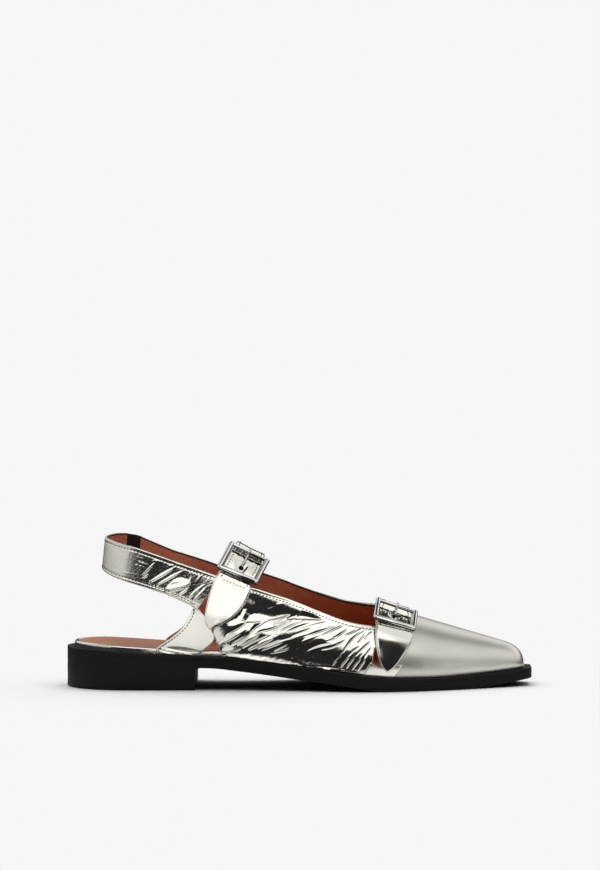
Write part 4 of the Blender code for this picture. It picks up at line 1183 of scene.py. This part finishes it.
def belt_turns(belt):
    """Turns of the last along the belt from its tip, and the distance along the belt to each."""
    turns = np.linspace(0.02, np.pi - 0.02, 500)
    middle = belt_point(belt, turns, np.zeros_like(turns))
    rising = turns < np.pi / 2
    start = np.interp(belt["tip_height"] * MM, middle[rising, 2], turns[rising])
    end = np.interp(-belt["anchor_height"] * MM, -middle[~rising, 2], turns[~rising])
    turns = np.linspace(start, end, 300)
    middle = belt_point(belt, turns, np.zeros_like(turns))
    return turns, run_along(middle) / MM


def belt_surface(belt, along, beside):
    """Points of the last under the belt, at distances along and beside its middle, and outward normals
    from small steps to either side."""
    turns, distance = belt_turns(belt)
    along, beside = np.broadcast_arrays(np.asarray(along, float), np.asarray(beside, float))
    turn = np.interp(along, distance, turns)
    point = belt_point(belt, turn, beside)
    step, aside = 0.01, 0.5
    by_turn = belt_point(belt, turn + step, beside) - belt_point(belt, turn - step, beside)
    by_side = belt_point(belt, turn, beside + aside) - belt_point(belt, turn, beside - aside)
    return point, unit(np.cross(by_side, by_turn))


def belt_edges(belt, along):
    """Middle and half width of the belt: a pointed end on a power curve that grows wide, then narrower
    from the buckle on, with a little more width between the buckle's bars."""
    left = 1 - passed(along, 0, belt["tip_length"])
    end = belt["end_width"] / 2 * (1 - left ** belt["tip_power"]) ** (1 / belt["tip_power"])
    bow = belt["tip_bow"] * np.sin(np.pi * (1 - left))
    past = eased(passed(along - belt["low_bar"], -6.0, -2.0))
    at_bars = 0.8 * bell(((along - belt["low_bar"] - 7.5) / 11.0) ** 3)
    return bow + (belt["buckle_beside"] - bow) * past, end + (STRAP_WIDTH / 2 - end) * past + at_bars


def belt_lift(belt, along):
    """How far the belt's underside stands off the upper: a smooth curve through distances along it. The
    stiff end hangs away from the foot."""
    return np.interp(along, *curve_through(belt["stand"]).T)


def belt_leaves(belt, seed):
    """Bodies of a belt: the face leaf, crowned and with rounded edges, dimpled round its hole and
    crumpled from the buckle on; and the backing leaf, a little wider, below a thin dark joint."""
    total = belt_turns(belt)[1][-1]
    tip = belt["tip_length"] * (1 - np.cos(np.radians(np.linspace(5, 90, 60))))
    along = np.concatenate([tip, np.arange(tip[-1] + 0.45, total, 0.45), [total]])[:, None]
    share = 2 * edge_shares(20.0, 46) - 1
    middle, half = belt_edges(belt, along)
    lift = belt_lift(belt, along)
    half_top = np.maximum(half - 0.5, half * 0.85)
    point, normal = belt_surface(belt, along + 0 * share, middle + share * half_top)
    away = np.hypot(along - belt["hole"], share * half_top)
    edge = from_edges(point)
    used = passed(along - belt["low_bar"], -5.5, -1.5) + 0 * share
    crown = 0.12 * (1 - share**2) - belt["twist"] * share * half_top
    face = STRAP_THICKNESS + lift + turned_edge(edge, 0.5) + crown * (1 - used)
    face = face - 0.5 * bell(away / 2.6) + 0.12 * bell((away - 4.2) / 1.2)
    face = face + passed(edge, 0.5, 2.5) * used * crumpled(point, seed, 10, 0.085)
    face = face - 0.1 * used * bell((edge - SEAM_INSET) / 0.4)
    top = leaf(point, normal, face, lift + 1.2)
    wide, up = belt_surface(belt, along + 0 * share, middle + share * half)
    rim = turned_edge(from_edges(wide), 0.35)
    lines = every_second(len(along))
    backing = leaf(wide[lines], up[lines], (lift + 1.05 + rim)[lines], lift[lines])
    return top, backing, raised(point, normal, face), normal, along


def full_turn(count):
    """Equal turns all the way round."""
    return np.linspace(0, 2 * np.pi, count, endpoint=False)


def hole_plug(belt, radius, low, high):
    """A round plug on the axis of the belt's hole, between two heights over the last."""
    centre, up = belt_surface(belt, belt["hole"], belt["buckle_beside"])
    aside = unit(np.cross(up, [1.0, 0.0, 0.0]))
    turn = full_turn(HOLE_SIDES)[:, None]
    circle = centre + radius * MM * (np.cos(turn) * aside + np.sin(turn) * np.cross(up, aside))
    return rings_solid(np.stack([circle + up * rise * MM for rise in (low, high)]))


def punched(piece, belt):
    """Cuts the belt's round hole with a many-sided punch, and keeps the cut mesh."""
    points, faces = hole_plug(belt, HOLE_RADIUS, -8.0, 8.0)
    mesh = bpy.data.meshes.new("punch")
    mesh.from_pydata(points, [], faces)
    punch = bpy.data.objects.new("punch", mesh)
    bpy.context.scene.collection.objects.link(punch)
    cut = piece.modifiers.new("hole", "BOOLEAN")
    cut.operation, cut.object, cut.solver = "DIFFERENCE", punch, "EXACT"
    bpy.context.view_layer.update()
    finished = bpy.data.meshes.new_from_object(piece.evaluated_get(bpy.context.evaluated_depsgraph_get()))
    piece.modifiers.clear()
    piece.data = finished
    finished.set_sharp_from_angle(angle=math.radians(45))
    bpy.data.objects.remove(punch)


foil_belt = silver_leather("silver_foil_belt", rough=0.07, crackle=0.1, crease=0.015, brush=0.0)
foil_backing = silver_leather("silver_foil_backing", rough=0.24, crackle=0.3, crease=0.1, brush=0.0)
for place, belt, seed in (("rear", REAR_BELT, 21), ("front", FRONT_BELT, 22)):
    node = place + "_strap"
    top, backing, surface, normal, along = belt_leaves(belt, seed)
    punched(add_piece(node + "_face", [top], foil_belt, [node]), belt)
    punched(add_piece(node + "_backing", [backing], foil_backing, [node]), belt)
    # Painted shade in the hole: a near-black disc set in the backing leaf's hole, seen through it
    bottom = belt_lift(belt, belt["hole"])
    hole_shade = hole_plug(belt, HOLE_SHADE_RADIUS, bottom + 0.1, bottom + 0.7)
    add_piece(node + "_hole_shade", [hole_shade], painted_shade_leather, [node])
    # Both edges are sewn from the buckle on, and the inner end across; the rear one by its buckle too
    sewn_from = int(np.argmax(along[:, 0] > belt["low_bar"] - 5.5))
    lines = [np.s_[sewn_from:-5, STITCH_LINE], np.s_[sewn_from:-5, -1 - STITCH_LINE], np.s_[-6, 7:-7]]
    if place == "rear":
        lines.append(np.s_[sewn_from, 7:-7])
    sewn_rows(node + "_stitches", surface, normal, lines, node)

# Buckles: cast and polished square frames of white metal, two round posts with domed ends joined by
# a broad low bar and a thin high bar. They stand on the straps and are held by the leather below.
POST_RADIUS, POST_SPREAD, POST_OVERHANG = 1.45, 11.2, 0.4
LOW_BAR_RADIUS, HIGH_BAR_RADIUS = 1.7, 1.1
PRONG_RADIUS, PRONG_RING_TUBE = 0.75, 0.45


def grey(value):
    """An even grey as a colour."""
    return (value, value, value, 1.0)


def polished_metal():
    """Plated white metal: mirror polish with hairline scratches and a little haze, bright on its outer
    faces, with painted shade near black on the sides and most of all on the undersides of its bars."""
    made, sockets, place = new_finish("plated_metal")
    haze = noise(place, 220.0, 4.0, 0.6)
    hair = noise(stretched(place, (3000.0, 160.0, 160.0), (0.3, 0.2, 0.5)), 1.0, 2.0)
    plate = ramp(haze, (0.3, (0.70, 0.69, 0.66)), (0.7, (0.80, 0.79, 0.76)))
    # Painted shade and dark reflections: faces turned away from the front and above go near black,
    # undersides most, faces turned to the back not at all
    faces = place.node("NewGeometry", output=1)
    outer = place.node("VectorMath", {"operation": "DOT_PRODUCT"}, {0: faces, 1: (0.0, -0.8, 0.6)}, 1)
    sides = smoothstep(outer, 0.8, 0.4)
    below = place.node("MapRange", None, {"Value": axis_of(faces, 2), 1: 0.1, 2: -0.4})
    behind = place.node("MapRange", None, {"Value": axis_of(faces, 1), 1: 0.1, 2: 0.5})
    black = sides * (0.4 + 0.6 * below) * (1.0 - behind)
    link(sockets, Base_Color=blend(black, plate, grey(0.02)))
    link(sockets, Roughness=0.04 + 0.07 * haze + 0.03 * hair)
    link(sockets, Normal=bump(haze + 0.15 * hair, 0.00006, 0.5))
    sockets["Metallic"].default_value = 1.0
    return made


def metal_bar(start, end, wide, tall, up, dome):
    """A straight bar of elliptic section between two points, with ends rounded over dome."""
    axis = unit(end - start)
    aside = unit(np.cross(up, axis))
    turn = full_turn(28)[:, None]
    section = wide * MM * np.cos(turn) * aside + tall * MM * np.sin(turn) * np.cross(axis, aside)
    cap = np.radians(np.linspace(86, 0, 8))[:, None, None]
    first = start - dome * MM * np.sin(cap) * axis + np.cos(cap) * section
    last = end + dome * MM * np.sin(cap[::-1]) * axis + np.cos(cap[::-1]) * section
    return rings_solid(np.concatenate([first, last]))


def buckle_points(belt):
    """Ends of the low and the high bar above the belt, and the belt's outward direction at each."""
    stand = STRAP_THICKNESS + GAP + 0.4
    reach = {"low": LOW_BAR_RADIUS, "high": HIGH_BAR_RADIUS + GAP + 2 * PRONG_RING_TUBE}
    corners = {}
    for bar, lift in reach.items():
        along, beside = belt[bar + "_bar"], belt["buckle_beside"]
        middle, normal = belt_surface(belt, along, beside)
        left = belt_surface(belt, along + belt["bar_skew"], beside - POST_SPREAD)[0]
        right = belt_surface(belt, along - belt["bar_skew"], beside + POST_SPREAD)[0]
        across = unit(right - left) * POST_SPREAD * MM
        centre = middle + normal * (stand + lift) * MM
        corners[bar] = (centre - across, centre + across, normal)
    return corners


def prong_bodies(belt):
    """The prong's ring round the high bar, a torus of flattened section, and its pin, a tapering rod
    that bows over to the hole."""
    left, right, normal = buckle_points(belt)["high"]
    centre = (left + right) / 2
    across = unit(right - left)
    radius = (HIGH_BAR_RADIUS + GAP + PRONG_RING_TUBE) * MM
    forward = np.cross(normal, across)
    turn, around = full_turn(40)[:, None, None], full_turn(14)[:, None]
    out = np.cos(turn) * normal + np.sin(turn) * forward
    tube = PRONG_RING_TUBE * MM * (np.cos(around) * out + 1.6 * np.sin(around) * across)
    ring = rings_solid(centre + out * radius + tube, round_on=True)
    reach = belt["high_bar"] - belt["prong_length"] - radius / MM
    tip, up = belt_surface(belt, reach, belt["buckle_beside"])
    tip = tip + up * (STRAP_THICKNESS + 2.2 * GAP + 0.1 + PRONG_RADIUS) * MM
    start = centre + unit(tip - centre) * radius
    t = np.concatenate([np.linspace(0, 0.94, 20), [0.97, 0.99, 1.0]])[:, None, None]
    path = start + (tip - start) * t + normal * 0.35 * MM * np.sin(np.pi * t)
    girth = PRONG_RADIUS * MM * np.interp(t, [0, 0.12, 0.9, 0.97, 1.0], [1.0, 1.05, 0.8, 0.6, 0.1])
    section = np.cos(around) * np.cross(normal, unit(tip - start))
    return [ring, rings_solid(path + girth * (section + np.sin(around) * normal))]


plated_metal = polished_metal()
for place, belt in (("rear", REAR_BELT), ("front", FRONT_BELT)):
    corners = buckle_points(belt)
    low_left, low_right, low_up = corners["low"]
    high_left, high_right, high_up = corners["high"]
    bars = []
    for low, high in ((low_left, high_left), (low_right, high_right)):
        past = unit(high - low) * POST_OVERHANG * MM
        bars.append(metal_bar(low - past, high + past, POST_RADIUS, POST_RADIUS, low_up + high_up, 1.2))
    bars.append(metal_bar(low_left, low_right, LOW_BAR_RADIUS, LOW_BAR_RADIUS * 0.85, low_up, 0.3))
    bars.append(metal_bar(high_left, high_right, HIGH_BAR_RADIUS, HIGH_BAR_RADIUS, high_up, 0.3))
    node = place + "_buckle"
    add_piece(node + "_frame", bars, plated_metal, [node], 60.0)
    node = place + "_prong"
    add_piece(node + "_pin", prong_bodies(belt), plated_metal, [node], 60.0)

# Studio: a plain pale floor that runs on into a white backdrop, under soft light from above. Long
# light boxes stand between dark gaps, so that the silver shows bright and dark bands, and a small
# white card beside the heel, which only reflections see, brightens the rear tab.
PAPER = 0.922
FLOOR_REACH, FLOOR_HEIGHT = 40.0, -0.0002
SHADOW_ALONG, SHADOW_ACROSS = 0.12, 0.03
CARD_REAR, CARD_FRONT, CARD_SIDE, CARD_LOW, CARD_HIGH = -0.09, -0.046, -0.075, 0.018, 0.059


def to_output(shader, output="Material Output"):
    """Feeds a finished shader to the output of its node tree."""
    shader.tree.links.new(shader.socket, shader.tree.nodes[output].inputs["Surface"])


def studio_floor():
    """Matt white paper near the shoe, where it takes the shadow, fading to an even white further off.
    Shiny surfaces see the floor as dark from a few centimetres beyond the shoe, less so by the toe."""
    made = bpy.data.materials.new("white_paper")
    made.use_nodes = True
    shade = Shade(made.node_tree)
    place = shade.node("TexCoord", output=3)
    x, y = axis_of(place, 0), axis_of(place, 1)
    beyond_x = shade.math("MAXIMUM", shade.math("ABSOLUTE", x) - SHADOW_ALONG, 0.0)
    beyond_y = shade.math("MAXIMUM", shade.math("ABSOLUTE", y) - SHADOW_ACROSS, 0.0)
    away = (beyond_x * beyond_x + beyond_y * beyond_y) ** 0.5
    far = smoothstep(away, 0.06, 0.16)
    dim = smoothstep(away - 0.15 * smoothstep(x, 0.03, 0.07), 0.03, 0.06)
    shiny = shade.node("LightPath", output=3)
    paper = shade.node("BsdfDiffuse", None, {"Color": grey(PAPER)})
    even = shade.node("Emission", None, {"Color": grey(PAPER)})
    dark = shade.node("Emission", None, {"Color": grey(0.02)})
    lit = shade.node("MixShader", None, {0: far, 1: paper, 2: even})
    to_output(shade.node("MixShader", None, {0: shiny * dim, 1: lit, 2: dark}))
    return made


def glowing_card():
    """A plain card that gives off an even white light."""
    made = bpy.data.materials.new("white_card")
    made.use_nodes = True
    to_output(Shade(made.node_tree).node("Emission", None, {"Color": grey(1.0), "Strength": 0.9}))
    return made


def sheet(name, finish, *corners):
    """A flat sheet between four corners, in metres."""
    mesh = bpy.data.meshes.new(name)
    mesh.from_pydata(corners, [], [(0, 1, 2, 3)])
    mesh.materials.append(finish)
    made = bpy.data.objects.new(name, mesh)
    bpy.context.scene.collection.objects.link(made)
    return made


floor = sheet(
    "studio_floor", studio_floor(),
    (-FLOOR_REACH, -FLOOR_REACH, FLOOR_HEIGHT), (FLOOR_REACH, -FLOOR_REACH, FLOOR_HEIGHT),
    (FLOOR_REACH, FLOOR_REACH, FLOOR_HEIGHT), (-FLOOR_REACH, FLOOR_REACH, FLOOR_HEIGHT),
)
card = sheet(
    "studio_card", glowing_card(),
    (CARD_REAR, CARD_SIDE, CARD_LOW), (CARD_REAR, CARD_SIDE, CARD_HIGH),
    (CARD_FRONT, CARD_SIDE, CARD_HIGH), (CARD_FRONT, CARD_SIDE, CARD_LOW),
)
card.visible_camera = card.visible_diffuse = card.visible_shadow = False

studio = bpy.data.worlds.new("studio")
studio.use_nodes = True
studio.cycles.sampling_method = "NONE"
bpy.context.scene.world = studio
shade = Shade(studio.node_tree)
facing = shade.node("TexCoord", output=0)
toeward, inward, upward = (axis_of(facing, axis) for axis in range(3))
toe_turn = toeward / shade.math("MAXIMUM", (toeward * toeward + inward * inward) ** 0.5, 0.001)
# Light boxes: brightness by the sine of the height above the horizon. Each row after the first is
# blended over those before it where a turn passes from its first to its second number
LIGHT_BOXES = (
    (None, ((0.0, 0.01), (0.33, 0.02), (0.40, 1.0), (0.93, 1.0), (0.96, 0.03), (1.0, 0.03))),
    ((toe_turn, 0.26, 0.33),
     ((0.0, 0.01), (0.60, 0.02), (0.65, 1.0), (0.93, 1.0), (0.96, 0.03), (1.0, 0.03))),
    ((toe_turn, 0.62, 0.74),
     ((0.0, 1.0), (0.24, 1.0), (0.36, 0.45), (0.56, 0.45), (0.76, 0.8), (0.95, 0.8), (1.0, 0.3))),
    ((toe_turn, 0.78, 0.88),
     ((0.0, 0.03), (0.2, 0.12), (0.4, 0.45), (0.6, 0.65), (0.95, 0.65), (1.0, 0.3))),
    ((inward, 0.2, 0.38),
     ((0.0, 0.02), (0.26, 0.04), (0.34, 0.8), (0.68, 0.8), (0.76, 0.03), (1.0, 0.03))),
    ((toe_turn, -0.36, -0.52), ((0.0, 0.45), (0.3, 0.55), (0.8, 0.5), (1.0, 0.1))),
)
boxes = None
for met, stops in LIGHT_BOXES:
    row = ramp(upward, *((place, (value, value, value)) for place, value in stops))
    boxes = blend(smoothstep(*met), boxes, row) if met else row
lights = shade.node("Background", None, {"Color": boxes, "Strength": 1.45})
soft_box = shade.math("MAXIMUM", upward, 0.0) ** 3.0 * (1.0 + 1.2 * inward)
soft = shade.node("Background", None, {"Color": soft_box, "Strength": 2.5})
even = shade.node("Background", None, {"Color": grey(PAPER), "Strength": 1.0})
lit = shade.node("MixShader", None, {0: shade.node("LightPath", output=3), 1: soft, 2: lights})
seen = shade.node("MixShader", None, {0: shade.node("LightPath", output=0), 1: lit, 2: even})
to_output(seen, "World Output")
bpy.context.scene.view_settings.view_transform = "Standard"

# Camera: a long lens two metres off on the outer side, a little above the shoe, as the photograph
# was taken. The view is level across and looks slightly down.
DISTANCE, ABOVE, AIM_HEIGHT, SIDEWAYS = 2.0, math.radians(5.0), 0.040, 0.0002
LOOK_DOWN, VIEW_ANGLE = math.radians(2.03), math.radians(9.895)
camera = bpy.data.objects.new("camera", bpy.data.cameras.new("camera"))
camera.location = (SIDEWAYS, -DISTANCE * math.cos(ABOVE), AIM_HEIGHT + DISTANCE * math.sin(ABOVE))
camera.rotation_euler = (math.radians(90) - LOOK_DOWN, 0.0, 0.0)
camera.data.sensor_fit = "HORIZONTAL"
camera.data.angle = VIEW_ANGLE
camera.data.clip_start = 0.1
bpy.context.scene.collection.objects.link(camera)
bpy.context.scene.camera = camera
